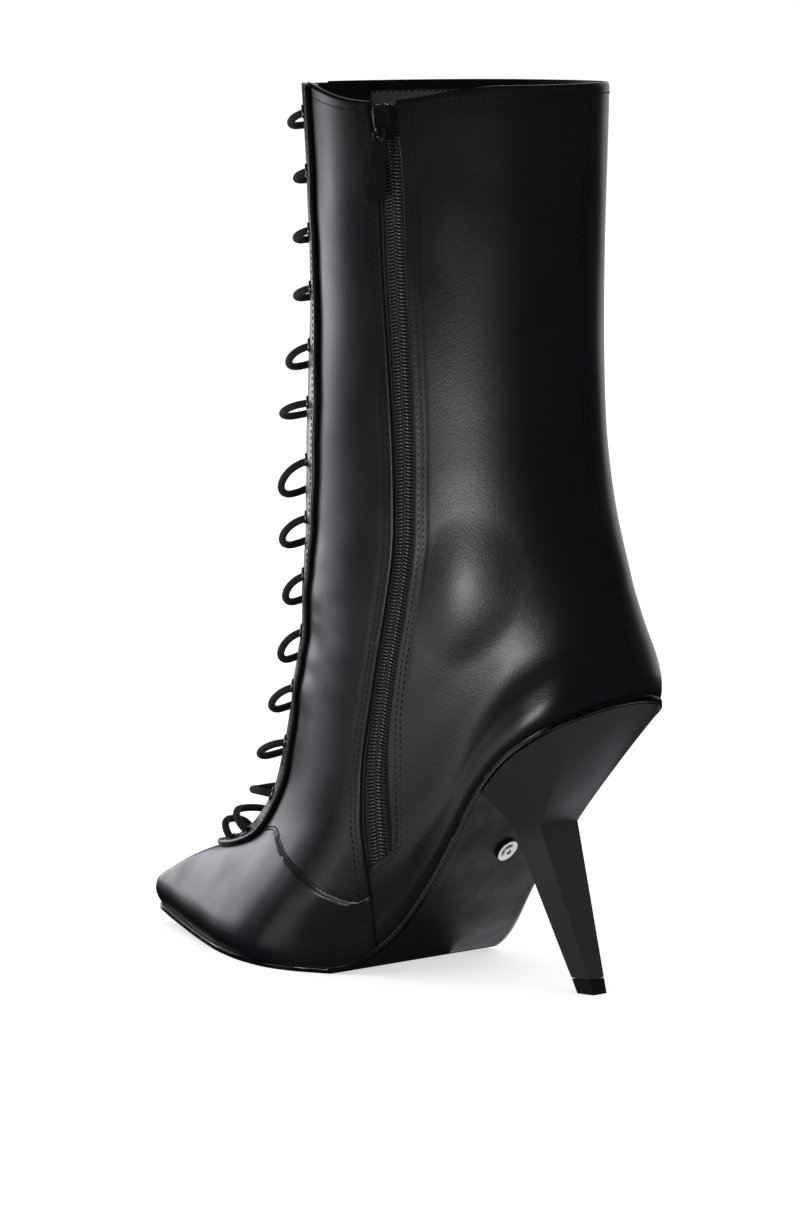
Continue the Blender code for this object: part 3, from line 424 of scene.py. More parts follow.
def flank(row, side):
    """The around of a point this far from the middle plane on the front flanks; inner is negative.
    Bilinear between the looked-up rows and sides."""
    row, side = np.broadcast_arrays(np.asarray(row, float), np.asarray(side, float))
    r = np.clip(row / LAST_ROW * (len(ROWS) - 1), 0, len(ROWS) - 1.001)
    s = np.clip(np.abs(side) / SIDES[-1] * (len(SIDES) - 1), 0, len(SIDES) - 1.001)
    i, j = r.astype(int), s.astype(int)
    a, b = r - i, s - j

    def read(table):
        low = table[i, j] * (1 - b) + table[i, j + 1] * b
        high = table[i + 1, j] * (1 - b) + table[i + 1, j + 1] * b
        return low * (1 - a) + high * a

    return np.where(side < 0, read(INNER_FLANK), read(OUTER_FLANK))


def beside_zip(row, shift):
    """The around that lies shift millimetres behind the zip's middle; negative is in front."""
    middle = np.interp(row, ROWS, ZIP_MIDDLE)
    return middle - shift / 10.0 * np.interp(row, ROWS, ZIP_SPREAD)


def row_at(around_of_row, height):
    """The row whose point, at around_of_row(row), is at this height."""
    heights = last_surface(ROWS, around_of_row(ROWS))[:, 2]
    return float(np.interp(height, heights, ROWS))


# Length along the front ridge, so that shapes there can be drawn in millimetres
RIDGE = run_along(last_surface(ROWS, 1.0))
THROAT_AT = float(np.interp(THROAT_ROW, ROWS, RIDGE))
TOP_AT = float(RIDGE[-1])
ZIP_FOOT_ROW = row_at(lambda row: beside_zip(row, 0), ZIP_BOTTOM_HEIGHT)


def ridge_row(length):
    """The row at this length along the front ridge."""
    return np.interp(length, RIDGE, ROWS)


# Shader maths: a socket wrapped so that Python's operators add Math nodes
class Maths:
    def __init__(self, finish, socket):
        self.finish, self.socket = finish, socket

    def _with(self, operation, *others):
        return self.finish.node(
            "ShaderNodeMath", {"operation": operation}, {i: v for i, v in enumerate((self, *others))}
        )

    def __mul__(self, other):
        return self._with("MULTIPLY", other)

    __rmul__ = __mul__

    def between(self, low, high, out_low=0.0, out_high=1.0):
        """A smooth step from out_low to out_high."""
        return self.finish.node(
            "ShaderNodeMapRange",
            {"interpolation_type": "SMOOTHSTEP"},
            {"Value": self, "From Min": low, "From Max": high, "To Min": out_low, "To Max": out_high},
        )


class Finish:
    """A material on one Principled shader, with a method that adds any other node."""

    def __init__(self, name, colour, roughness, **sockets):
        self.material = bpy.data.materials.new(name)
        self.material.use_nodes = True
        self.tree = self.material.node_tree
        self.shader = self.tree.nodes["Principled BSDF"]
        self.shader.inputs["Base Color"].default_value = (*colour, 1)
        self.shader.inputs["Roughness"].default_value = roughness
        for socket, value in sockets.items():
            self.shader.inputs[socket.replace("_", " ")].default_value = value
        self.place = self.node("ShaderNodeTexCoord", {}, {}, "Object")
        self.uv = self.node("ShaderNodeTexCoord", {}, {}, "UV")

    def node(self, kind, settings, values, output=0):
        made = self.tree.nodes.new(kind)
        for key, value in settings.items():
            setattr(made, key, value)
        for key, value in values.items():
            if isinstance(value, Maths):
                self.tree.links.new(value.socket, made.inputs[key])
            else:
                made.inputs[key].default_value = value
        return Maths(self, made.outputs[output])

    def noise(self, scale, detail, roughness):
        values = {"Vector": self.place, "Scale": scale, "Detail": detail, "Roughness": roughness}
        return self.node("ShaderNodeTexNoise", {}, values)

    def cells(self, scale):
        values = {"Vector": self.place, "Scale": scale}
        return self.node("ShaderNodeTexVoronoi", {"feature": "SMOOTH_F1"}, values, "Distance")

    def blend_colours(self, factor, first, second):
        return self.node(
            "ShaderNodeMix",
            {"data_type": "RGBA"},
            {0: factor, 6: (*first, 1), 7: (*second, 1)},
            2,
        )

    def feed(self, socket, value):
        self.tree.links.new(value.socket, self.shader.inputs[socket])

    def relief(self, *layers):
        """Bump nodes in a chain: each layer is a height and its depth in millimetres."""
        normal = None
        for height, depth in layers:
            values = {"Height": height, "Strength": 1.0, "Distance": depth * MM}
            if normal is not None:
                values["Normal"] = normal
            normal = self.node("ShaderNodeBump", {}, values)
        self.feed("Normal", normal)


def make_finishes():
    """All the boot's materials by name."""
    made = {}

    leather = Finish("upper_leather", (0.004, 0.0044, 0.006), 0.34, Coat_Weight=0.10, Coat_Roughness=0.25)
    pebble = leather.cells(1500.0)
    pores = leather.noise(4200.0, 2.0, 0.6)
    slow = leather.noise(42.0, 3.0, 0.5)
    broad = leather.noise(13.0, 2.0, 0.5)
    leather.feed("Roughness", slow.between(0.3, 0.7, 0.30, 0.37))
    shade = leather.blend_colours(slow, (0.0034, 0.0038, 0.0055), (0.0048, 0.0053, 0.0075))
    leather.feed("Base Color", shade)
    leather.relief((broad, 0.9), (slow, 0.12), (pebble, 0.028), (pores, 0.010))
    made["leather"] = leather

    bead = Finish("bead_leather", (0.003, 0.003, 0.0035), 0.36, Coat_Weight=0.15, Coat_Roughness=0.2)
    bead.relief((bead.noise(900.0, 3.0, 0.6), 0.06), (bead.cells(2100.0), 0.03))
    made["bead"] = bead

    lining = Finish("lining_cloth", (0.04, 0.04, 0.043), 0.85, Sheen_Weight=0.1)
    weave = lining.noise(2600.0, 2.0, 0.7)
    lining.feed("Base Color", lining.blend_colours(weave, (0.030, 0.030, 0.033), (0.055, 0.055, 0.060)))
    lining.relief((weave, 0.08))
    made["lining"] = lining

    thread = Finish("thread", (0.0015, 0.0015, 0.002), 0.6)
    thread.relief((thread.noise(4000.0, 2.0, 0.5), 0.03))
    made["thread"] = thread

    cover = Finish("heel_cover", (0.018, 0.018, 0.022), 0.42, Coat_Weight=0.06, Coat_Roughness=0.3)
    cover.relief((cover.noise(60.0, 3.0, 0.5), 0.06), (cover.cells(1700.0), 0.016))
    cover.feed("Roughness", cover.noise(50.0, 3.0, 0.5).between(0.3, 0.7, 0.38, 0.46))
    made["cover"] = cover

    tread = Finish("tread_rubber", (0.005, 0.005, 0.006), 0.55, Specular_IOR_Level=0.35)
    tread.feed("Roughness", tread.noise(70.0, 4.0, 0.6).between(0.3, 0.7, 0.45, 0.62))
    tread.relief((tread.noise(1500.0, 3.0, 0.6), 0.05))
    made["tread"] = tread

    edge = Finish("sole_edge", (0.003, 0.003, 0.0035), 0.22, Coat_Weight=0.35, Coat_Roughness=0.1)
    edge.relief((edge.noise(160.0, 3.0, 0.5), 0.05))
    made["edge"] = edge

    tip = Finish("tip_rubber", (0.004, 0.004, 0.0045), 0.42)
    tip.relief((tip.noise(1200.0, 3.0, 0.6), 0.05))
    made["tip"] = tip

    metal = Finish("bright_metal", (0.82, 0.81, 0.79), 0.24, Metallic=1.0)
    metal.feed("Roughness", metal.noise(900.0, 3.0, 0.6).between(0.3, 0.7, 0.18, 0.32))
    metal.relief((metal.noise(1400.0, 2.0, 0.5), 0.02))
    made["metal"] = metal

    eyelet = Finish("eyelet_metal", (0.30, 0.30, 0.32), 0.28, Metallic=1.0)
    eyelet.feed("Roughness", eyelet.noise(1500.0, 2.0, 0.5).between(0.3, 0.7, 0.2, 0.36))
    eyelet.relief((eyelet.noise(1800.0, 2.0, 0.5), 0.01))
    made["eyelet"] = eyelet

    black_metal = Finish("black_metal", (0.006, 0.006, 0.007), 0.2, Coat_Weight=0.6, Coat_Roughness=0.08)
    black_metal.relief((black_metal.noise(420.0, 2.0, 0.5), 0.05))
    made["black_metal"] = black_metal

    nylon = Finish("coil_nylon", (0.022, 0.022, 0.025), 0.26, Coat_Weight=0.6, Coat_Roughness=0.12)
    nylon.relief((nylon.noise(3000.0, 2.0, 0.5), 0.01))
    made["nylon"] = nylon

    tape = Finish("zip_tape", (0.004, 0.004, 0.0045), 0.8, Sheen_Weight=0.1)
    rib = tape.node(
        "ShaderNodeTexWave",
        {"wave_type": "BANDS", "bands_direction": "Z"},
        {"Vector": tape.place, "Scale": 420.0, "Distortion": 0.6, "Detail": 1.0},
    )
    tape.relief((rib, 0.12), (tape.noise(3500.0, 2.0, 0.5), 0.05))
    made["tape"] = tape

    cord = Finish("lace_cord", (0.004, 0.004, 0.005), 0.75, Sheen_Weight=0.04)
    plait = cord.node(
        "ShaderNodeTexWave",
        {"wave_type": "BANDS", "bands_direction": "DIAGONAL", "wave_profile": "SIN"},
        {"Vector": cord.uv, "Scale": 3.0, "Distortion": 0.0},
    )
    cross = cord.node(
        "ShaderNodeTexWave",
        {"wave_type": "BANDS", "bands_direction": "DIAGONAL", "wave_profile": "SIN"},
        {
            "Vector": cord.node("ShaderNodeMapping", {}, {"Vector": cord.uv, "Scale": (1, -1, 1)}),
            "Scale": 3.0,
            "Distortion": 0.0,
        },
    )
    cord.relief((plait * cross, 0.18), (cord.noise(4000.0, 2.0, 0.6), 0.05))
    cord.feed("Base Color", cord.blend_colours(plait * cross, (0.0035, 0.0035, 0.004), (0.013, 0.013, 0.015)))
    made["cord"] = cord

    floor = Finish("floor_white", (0.5, 0.5, 0.5), 0.9, Specular_IOR_Level=0.0, Emission_Strength=0.62)
    floor.shader.inputs["Emission Color"].default_value = (1, 1, 1, 1)
    floor.relief((floor.noise(30.0, 2.0, 0.5), 0.02))
    made["floor"] = floor
    return {name: finish.material for name, finish in made.items()}


FINISH = make_finishes()


def put_mesh(name, points, faces, material, uv=None, sharp=40.0):
    """A mesh object from points in millimetres and an array of quads, turned outwards and smooth."""
    points = np.asarray(points, float)
    faces = np.asarray(faces, int)
    a, b, c, d = (points[faces[:, i]] for i in range(4))
    volume = np.einsum("ij,ij->i", a, np.cross(b, c)).sum() + np.einsum("ij,ij->i", a, np.cross(c, d)).sum()
    if volume < 0:
        faces = faces[:, ::-1]
    mesh = bpy.data.meshes.new(name)
    mesh.vertices.add(len(points))
    mesh.vertices.foreach_set("co", (points * MM).ravel())
    mesh.loops.add(faces.size)
    mesh.loops.foreach_set("vertex_index", faces.ravel())
    mesh.polygons.add(len(faces))
    mesh.polygons.foreach_set("loop_start", np.arange(0, faces.size, 4))
    mesh.polygons.foreach_set("loop_total", np.full(len(faces), 4))
    mesh.update(calc_edges=True)
    if uv is not None:
        layer = mesh.uv_layers.new(name="UVMap")
        layer.data.foreach_set("uv", uv[faces.ravel()].ravel())
    mesh.materials.append(material)
    mesh.shade_smooth()
    if sharp:
        mesh.set_sharp_from_angle(angle=math.radians(sharp))
    made = bpy.data.objects.new(name, mesh)
    bpy.context.scene.collection.objects.link(made)
    return made


def grid_faces(rows, columns, wrap_rows=False, wrap_columns=False, start=0):
    """Quads of a grid of points stored row by row, closed round either way if asked."""
    i = np.arange(rows if wrap_rows else rows - 1)[:, None]
    j = np.arange(columns if wrap_columns else columns - 1)[None]
    up, across = (i + 1) % rows, (j + 1) % columns
    quads = np.stack([i * columns + j, i * columns + across, up * columns + across, up * columns + j], -1)
    return quads.reshape(-1, 4) + start


def put_slab(name, top, bottom, material):
    """A closed slab between two grids of the same shape: both faces and the strip round their edge."""
    rows, columns = top.shape[:2]
    under = rows * columns
    upper = grid_faces(rows, columns)
    lower = upper[:, ::-1] + under
    index = np.arange(under).reshape(rows, columns)
    rim = np.concatenate([index[0, :-1], index[:-1, -1], index[-1, :0:-1], index[:0:-1, 0]])
    after = np.roll(rim, -1)
    strip = np.stack([after, rim, rim + under, after + under], -1)
    points = np.concatenate([top.reshape(-1, 3), bottom.reshape(-1, 3)])
    return put_mesh(name, points, np.concatenate([upper, lower, strip]), material)


def put_tube(name, path, radius, sides, material):
    """A round section carried along a path, with frames turned as little as possible from point to
    point, and rounded ends. UV: six turns of the section, lengths along."""
    path = np.asarray(path, float)
    tangent = unit(np.gradient(path, axis=0))
    side = np.empty_like(path)
    side[0] = unit(np.cross(tangent[0], (0, 1, 0.3)))
    for i in range(1, len(path)):
        side[i] = unit(side[i - 1] - tangent[i] * (side[i - 1] @ tangent[i]))
    other = np.cross(tangent, side)
    angle = np.linspace(0, 2 * PI, sides, endpoint=False)
    ring = (
        path[:, None]
        + side[:, None] * (np.cos(angle)[None, :, None] * radius)
        + other[:, None] * (np.sin(angle)[None, :, None] * radius)
    )
    # Each ring of an end: its share of the section, and how far it stands out
    caps = ((0.0, 0.9), (0.55, 0.75), (0.9, 0.35))
    start = [path[0] + (ring[0] - path[0]) * k - tangent[0] * radius * d for k, d in caps]
    stop = [path[-1] + (ring[-1] - path[-1]) * k + tangent[-1] * radius * d for k, d in caps[::-1]]
    ring = np.concatenate([start, ring, stop])
    count = len(ring)
    length = run_along(ring.mean(1))
    uv = np.stack(
        [np.broadcast_to(angle / (2 * PI), (count, sides)), np.broadcast_to(length[:, None], (count, sides))],
        -1,
    )
    uv = uv * (6.0, 1.0)
    faces = grid_faces(count, sides, wrap_columns=True)
    return put_mesh(name, ring.reshape(-1, 3), faces, material, uv.reshape(-1, 2), 0)


def joined_copies(name, points, faces, origins, xs, ys, zs, material):
    """One small shape repeated at many places, each with its own three axes, as one mesh."""
    points = np.asarray(points, float)
    placed = (
        origins[:, None]
        + points[None, :, 0:1] * xs[:, None]
        + points[None, :, 1:2] * ys[:, None]
        + points[None, :, 2:3] * zs[:, None]
    )
    count = len(points)
    many = (np.asarray(faces)[None] + (np.arange(len(origins)) * count)[:, None, None]).reshape(-1, 4)
    return put_mesh(name, placed.reshape(-1, 3), many, material, None, 0)


def bead_shape(length, width, height):
    """A stitch: an ellipsoid, longer than wide."""
    u = np.linspace(0, 2 * PI, 8, endpoint=False)
    v = np.linspace(-PI / 2, PI / 2, 5)
    x = np.sin(v)[:, None] * length / 2 + 0 * u
    ring = np.cos(v)[:, None]
    y = ring * np.cos(u) * width / 2
    z = ring * np.sin(u) * height / 2
    return np.stack([x, y, z], -1).reshape(-1, 3), grid_faces(5, 8, wrap_columns=True)


STITCHES = []


def stitch_along(row, around, lift, spacing=2.3, length=1.6):
    """Keeps a stitch line along a path on the surface, evenly spaced by arc length."""
    place = last_surface(row, around)
    run = run_along(place)
    count = max(2, int(run[-1] / spacing))
    at = (np.arange(count) + 0.5) * run[-1] / count
    r, a = np.interp(at, run, row), np.interp(at, run, around)
    r2, a2 = np.interp(at + 0.5, run, row), np.interp(at + 0.5, run, around)
    out = last_normal(r, a)
    here = last_surface(r, a)
    tangent = last_surface(r2, a2) - here
    tangent[-1] = tangent[-2]
    tangent = square_to(tangent, out)
    lift = np.interp(at, run, np.broadcast_to(lift, run.shape))
    STITCHES.append((here + out * lift[:, None], tangent * length, np.cross(out, tangent), out))


def make_stitches():
    """All kept stitch lines as one piece."""
    origins, xs, ys, zs = (np.concatenate([line[k] for line in STITCHES]) for k in range(4))
    shape, faces = bead_shape(1.0, 0.5, 0.42)
    return joined_copies("stitching", shape, faces, origins, xs, ys, zs, FINISH["thread"])


EDGE_STEPS = np.array([0.0, 0.12, 0.35, 0.7, 1.1])


def spread(count, lengths, round_start, round_end):
    """Shares 0 to 1 along lines of these lengths: close together at rounded ends, even between."""
    lengths = np.asarray(lengths, float)[:, None]
    start = EDGE_STEPS[None] / lengths if round_start else np.zeros((len(lengths), 1))
    end = 1 - EDGE_STEPS[::-1][None] / lengths if round_end else np.ones((len(lengths), 1))
    middle = np.linspace(0, 1, count + 2)[1:-1][None]
    middle = start[:, -1:] + middle * (end[:, :1] - start[:, -1:])
    return np.concatenate([start, middle, end], 1)


def wall_panel(name, low, high, start, end, cells, thickness, material, rounds, lift, under=None):
    """A leather panel on the last: low and high give its rows at each share across, start and end
    its arounds at each row. rounds gives its rim's rounding radii (start, end, low, high).
    lift(row, around, distances) raises its face; distances are to the four borders in millimetres."""
    across = np.linspace(0, 1, 70)
    rows = low(across)[None] + np.linspace(0, 1, 70)[:, None] * (high(across) - low(across))[None]
    arounds = start(rows) * (1 - across) + end(rows) * across
    place = last_surface(rows, arounds)
    widths = np.linalg.norm(np.diff(place, axis=1), axis=-1).sum(1)
    heights = np.linalg.norm(np.diff(place, axis=0), axis=-1).sum(0)
    n_up, n_across = cells
    soft = [radius > 0 for radius in rounds]
    up_count = n_up + 2 + (len(EDGE_STEPS) - 1) * (soft[2] + soft[3])
    across_count = n_across + 2 + (len(EDGE_STEPS) - 1) * (soft[0] + soft[1])
    grid = np.linspace(0, 1, 70)
    t_even = np.linspace(0, 1, across_count)
    s = spread(n_up, np.interp(t_even, across, heights), soft[2], soft[3]).T
    t = spread(n_across, np.interp(np.linspace(0, 1, up_count), grid, widths), soft[0], soft[1])
    rows = low(t) + s * (high(t) - low(t))
    arounds = start(rows) * (1 - t) + end(rows) * t
    width = np.interp(s, grid, widths)
    height = np.interp(t, across, heights)
    far = (t * width, (1 - t) * width, s * height, (1 - s) * height)
    drop = np.zeros_like(t)
    for distance, radius in zip(far, rounds):
        if radius:
            share = 1 - np.clip(distance / radius, 0, 1)
            drop = np.maximum(drop, radius * (1 - np.sqrt(1 - share**2)))
    raised = lift(rows, arounds, far) - drop * 0.85
    sunk = -thickness + (under(rows, arounds, far) if under else 0.0) + np.zeros_like(t)
    place, out = last_surface(rows, arounds), last_normal(rows, arounds)
    top = place + out * (raised + np.zeros_like(t))[..., None]
    bottom = place + out * np.minimum(sunk, raised - 0.15)[..., None]
    return put_slab(name, top, bottom, material)


def wear(row, around):
    """Folds and soft waves of the worn leather, in millimetres along the normal."""
    place = last_surface(row, around)
    x, z = place[..., 0], place[..., 2]
    front = ease(around, 0.45, 0.85) * (1 - ease(around, 1.15, 1.55))
    waves = 0.0
    for height, half, depth, slant in (
        (92, 9, 0.7, 0.10),
        (112, 8, -0.6, 0.08),
        (128, 8, 0.6, 0.02),
        (150, 10, -0.5, -0.05),
        (182, 14, 0.45, 0.0),
        (225, 18, -0.4, 0.0),
        (262, 14, 0.35, 0.0),
    ):
        waves = waves + depth * bump_at(z + slant * x, height, half)
    waves = waves * front
    along, up = x - ANKLE_X, z - ANKLE_Z
    ankle = bump_at(np.hypot((along - 0.4 * up) / 24.0, (up + 0.4 * along) / 30.0), 0.0, 1.0)
    waves = waves + 1.4 * ankle * ease(-around, -0.9, -0.6)
    back = ease(around, 0.10, 0.0) + ease(around, 1.9, 2.0)
    return waves + 0.3 * back * np.sin(z / 11.0) * ease(z, 130, 170)


def slit_front(row):
    """The around of the slit's front edge, and below the foot of the seam that goes on from it."""
    return beside_zip(row, -smooth(SLIT, 1, row))


def slit_back(row):
    """The around of the slit's rear edge. At the foot it sweeps forward along a section, and lower
    down it runs on under the front panels."""
    beyond = -(smooth(SLIT, 1, row) + 3.5)
    share = ease(row, FOOT_ROW - 0.09, FOOT_ROW + 0.09)
    return beside_zip(row, beyond + (smooth(SLIT, 2, row) - beyond) * share)


def seam_row(around):
    """Row of the seam between vamp and quarters at this around, the same on both sides."""
    inner = np.where(around > 1, 2 - around, around)
    return smooth(VAMP_SEAM, 1, inner)


def crossing(start, end, shares, above=0.0):
    """For each share across a panel, the row at which it meets the vamp seam, or a line above it
    that stays below the throat."""
    out = []
    for share in shares:
        around = start(ROWS) * (1 - share) + end(ROWS) * share
        seam = seam_row(around) + above
        if above:
            seam = np.minimum(seam, THROAT_ROW + 0.02 + 6 * np.abs(around - 1))
        line = seam - ROWS
        i = max(int(np.argmax(line < 0)), 1)
        out.append(ROWS[i - 1] + (ROWS[i] - ROWS[i - 1]) * line[i - 1] / (line[i - 1] - line[i]))
    return np.array(out)


def throat_half(row):
    return THROAT_HALF * np.sqrt(np.clip((row - THROAT_ROW) / 0.6 + 0.15, 0.02, 1))


# The two rows of stitches behind the slit, round its foot
FOOT_STITCHES_NEAR = (
    # row, around
    (9.47, 0.4675),
    (8.70, 0.4605),
    (7.83, 0.4515),
    (6.70, 0.4380),
    (6.23, 0.4355),
    (6.03, 0.4425),
    (5.97, 0.4520),
    (5.87, 0.4620),
)
FOOT_STITCHES_FAR = (
    # row, around
    (9.37, 0.4580),
    (8.60, 0.4520),
    (7.73, 0.4445),
    (6.37, 0.4285),
    (5.87, 0.4265),
    (5.70, 0.4335),
    (5.63, 0.4445),
    (5.57, 0.4570),
)


def back_stitches(shift, foot):
    """Down behind the slit at this distance from its edge, then along the foot's table, as one line."""
    rows = np.linspace(LAST_ROW - 0.12, foot[0][0] + 0.7, 300)
    arounds = beside_zip(rows, smooth(SLIT, 2, rows) + shift)
    numbered = [(n, *place) for n, place in enumerate(foot)]
    at = np.linspace(0, len(foot) - 1, 160)
    return np.concatenate([rows, smooth(numbered, 1, at)]), np.concatenate([arounds, smooth(numbered, 2, at)])


def make_upper():
    """Vamp, inner front, inner back and outer quarter, and the cloth lining inside them."""

    def throat_inner(row):
        return flank(row, -throat_half(row))

    def throat_outer(row):
        return flank(row, throat_half(row))

    top, bottom = steady(LAST_ROW), steady(0.0)
    back_inner, back_outer = steady(BACK_MARGIN), steady(2 - BACK_MARGIN)
    vamp_end = steady(1.68)

    def fold_under(rows, arounds, far):
        """The panel's edge is folded over the lining at the top line."""
        return -(WALL - PANEL) * ease(-far[3], -2.0, -1.2)

    def front_lift(rows, arounds, far):
        near, away = FRONT_STITCHES
        beside = bump_at(far[0], near, 0.8) + bump_at(far[0], away, 0.8) + bump_at(far[2], 1.5, 0.6)
        edge = 0.25 * ease(-far[2], -2.5, -0.5)
        return wear(rows, arounds) + edge - 0.22 * beside - 0.2 * bump_at(far[3], 1.6, 0.7)

    def back_lift(rows, arounds, far):
        """Pressed down under the front panels below the slit's foot."""
        low = ease(-rows, -FOOT_ROW - 0.05, -FOOT_ROW + 0.25)
        covered = ease(arounds - slit_front(rows), -0.006, 0.0) * low
        near, away = BACK_STITCHES
        beside = (bump_at(far[0], near, 0.7) + bump_at(far[0], away, 0.7)) * (1 - low)
        seam = bump_at(far[1], 0.6, 0.5) * 0.6
        pressed = 0.22 * (beside + seam) + 0.2 * bump_at(far[3], 1.6, 0.7)
        return wear(rows, arounds) - pressed - 1.0 * covered

    def outer_lift(rows, arounds, far):
        seam = bump_at(far[1], 0.6, 0.5) * 0.6
        edge = 0.25 * ease(-far[2], -2.5, -0.5)
        return wear(rows, arounds) + edge - 0.22 * seam - 0.2 * bump_at(far[3], 1.6, 0.7)

    def vamp_lift(rows, arounds, far):
        """Soft waves on the toe, and the edge that goes under the quarters."""
        under_quarter = ease(rows - seam_row(arounds), -0.02, 0.07)
        place = last_surface(rows, arounds)
        x, y = place[..., 0], place[..., 1]
        toe = 0.10 * np.sin(x / 5.2 + y / 14.0 + 0.6) * ease(-x, 42, 62)
        toe = toe + 0.12 * np.sin(x / 8.3 - y / 9.0) * ease(-x, 15, 40)
        toe = toe * (1 - ease(-x, 88, 98)) * ease(rows, 1.5, 3.5)
        return toe - 0.95 * under_quarter

    shares = np.linspace(0, 1, 90)
    low_front = crossing(slit_front, throat_inner, shares)
    low_outer = crossing(throat_outer, back_outer, shares)
    vamp_high = crossing(slit_front, vamp_end, shares, 0.75)
    leather = FINISH["leather"]
    rise_front, rise_outer, vamp_top = (
        lambda t, line=line: np.interp(t, shares, line) for line in (low_front, low_outer, vamp_high)
    )
    # name, low, high, start, end, cells, rounds, lift, under
    panels = (
        ("quarter_inner_front", rise_front, top, slit_front, throat_inner, (230, 62),
         (0.9, 0.9, 0.35, 0.9), front_lift, fold_under),
        ("quarter_inner_back", bottom, top, slit_back, back_inner, (300, 84),
         (0.9, 0, 0, 0.9), back_lift, fold_under),
        ("quarter_outer", rise_outer, top, throat_outer, back_outer, (230, 150),
         (0.9, 0, 0.35, 0.9), outer_lift, fold_under),
        ("vamp", bottom, vamp_top, slit_front, vamp_end, (64, 300), (0.9, 0, 0, 0), vamp_lift, None),
    )
    pieces = [wall_panel(*row[:6], PANEL, leather, *row[6:]) for row in panels]
    for piece in pieces:
        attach(piece, "boot")
        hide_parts("upper")

    def sunk(rows, arounds, far):
        return np.full_like(rows, -1.05)

    top_inside = steady(LAST_ROW - 0.10)
    for name, start, end, cells in (
        ("lining_inner_front", slit_front, throat_inner, (90, 26)),
        ("lining_inner_back", slit_back, back_inner, (90, 34)),
        ("lining_outer", throat_outer, back_outer, (90, 60)),
    ):
        piece = wall_panel(
            name, bottom, top_inside, start, end, cells, WALL, FINISH["lining"], (0, 0, 0, 0), sunk
        )
        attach(piece, "boot")

    # Two rows before the slit, down to the sole, and two behind it, round its foot
    rows = np.linspace(0.15, LAST_ROW - 0.12, 700)
    for shift, more in zip(FRONT_STITCHES, (0.2, 1.0)):
        beside = smooth(SLIT, 1, rows) + shift + more * ease(-rows, -4.0, -0.5)
        stitch_along(rows, beside_zip(rows, -beside), wear(rows, beside_zip(rows, -beside)) - 0.12)
    for shift, foot in zip(BACK_STITCHES, (FOOT_STITCHES_NEAR, FOOT_STITCHES_FAR)):
        stitch_along(*back_stitches(shift, foot), -0.1)
    # One row down the back, one below the top line, and the same row inside on the far side
    back_rows = np.linspace(0.8, LAST_ROW - 0.12, 500)
    stitch_along(back_rows, np.full_like(back_rows, 0.010), 0.0)
    below = LAST_ROW - 0.11
    _, slit_ahead, slit_behind = SLIT[-1]
    inner = np.linspace(beside_zip(below, slit_behind + 1.2), 0.003, 160)
    stitch_along(np.full_like(inner, below), inner, 0.0)
    front = np.linspace(flank(below, -THROAT_HALF - 1), beside_zip(below, -slit_ahead - 1.2), 80)
    stitch_along(np.full_like(front, below), front, 0.0)
    outer = np.linspace(1.997, flank(below, THROAT_HALF + 1), 240)
    stitch_along(np.full_like(outer, below), outer, 0.0)
    stitch_along(np.full_like(outer, below), outer, -WALL)
    # One fine row above the vamp seam
    for arounds in (np.linspace(0.452, 0.79, 200), np.linspace(1.21, 1.62, 240)):
        stitch_along(seam_row(arounds) + 0.14, arounds, 0.12, 1.6, 1.05)


def ridge_patch(length, side):
    """Row and around of a point on the front flanks, drawn flat: length along the ridge, side off it."""
    row = ridge_row(length)
    return row, flank(row, side)


def stay_path(half, depth, count, widening=1.0, below_top=0.0):
    """Down the inner leg, round the U below the throat and up the outer leg, in ridge lengths."""
    low = THROAT_AT + 5.0
    leg = np.linspace(TOP_AT - below_top, low, count)
    wide = half + widening * smooth(STAY_WIDENING, 1, leg - THROAT_AT)
    angle = np.linspace(0, PI, count // 2)[1:-1]
    length = np.concatenate([leg, low - depth * np.sin(angle), leg[::-1]])
    side = np.concatenate([-wide, -half * np.cos(angle), wide[::-1]])
    return length, side


def make_eyestay():
    """The stay: a slab swept between the throat's edge and the outer edge, and the bead on the latter."""
    count = 240
    near_length, near_side = stay_path(THROAT_HALF + 0.2, 5.5, count, 0.0)
    far_length, far_side = stay_path(EYESTAY_OUTER - 0.6, 14.0, count)
    shares = np.concatenate([[0, 0.02, 0.05, 0.1], np.linspace(0.16, 0.94, 9), [1.0]])
    length = near_length[:, None] * (1 - shares) + far_length[:, None] * shares
    side = near_side[:, None] * (1 - shares) + far_side[:, None] * shares
    row, around = ridge_patch(length, side)
    place, out = last_surface(row, around), last_normal(row, around)
    reach = np.linalg.norm(np.diff(place, axis=1), axis=-1)
    reach = np.concatenate([np.zeros((len(place), 1)), np.cumsum(reach, 1)], 1)
    share = 1 - np.clip(reach / 0.8, 0, 1)
    top = GAP + EYESTAY_THICKNESS - 0.7 * (1 - np.sqrt(1 - share**2)) + wear(row, around) * 0.6
    bottom = np.full_like(top, 0.05)
    slab = put_slab(
        "eyestay_panel",
        place + out * top[..., None],
        place + out * bottom[..., None],
        FINISH["leather"],
    )
    row, around = ridge_patch(*stay_path(EYESTAY_OUTER, 14.4, count, 1.0, 1.6))
    path = last_surface(row, around) + last_normal(row, around) * (0.85 + wear(row, around))[:, None]
    bead = put_tube("eyestay_bead", path, 1.15, 12, FINISH["bead"])
    for piece in (slab, bead):
        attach(piece, "boot")
        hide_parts("eyestay")
    row, around = ridge_patch(*stay_path(EYESTAY_OUTER - 2.4, 12.0, count, 1.0, 1.6))
    stitch_along(row, around, GAP + EYESTAY_THICKNESS + 0.02 + wear(row, around) * 0.6)


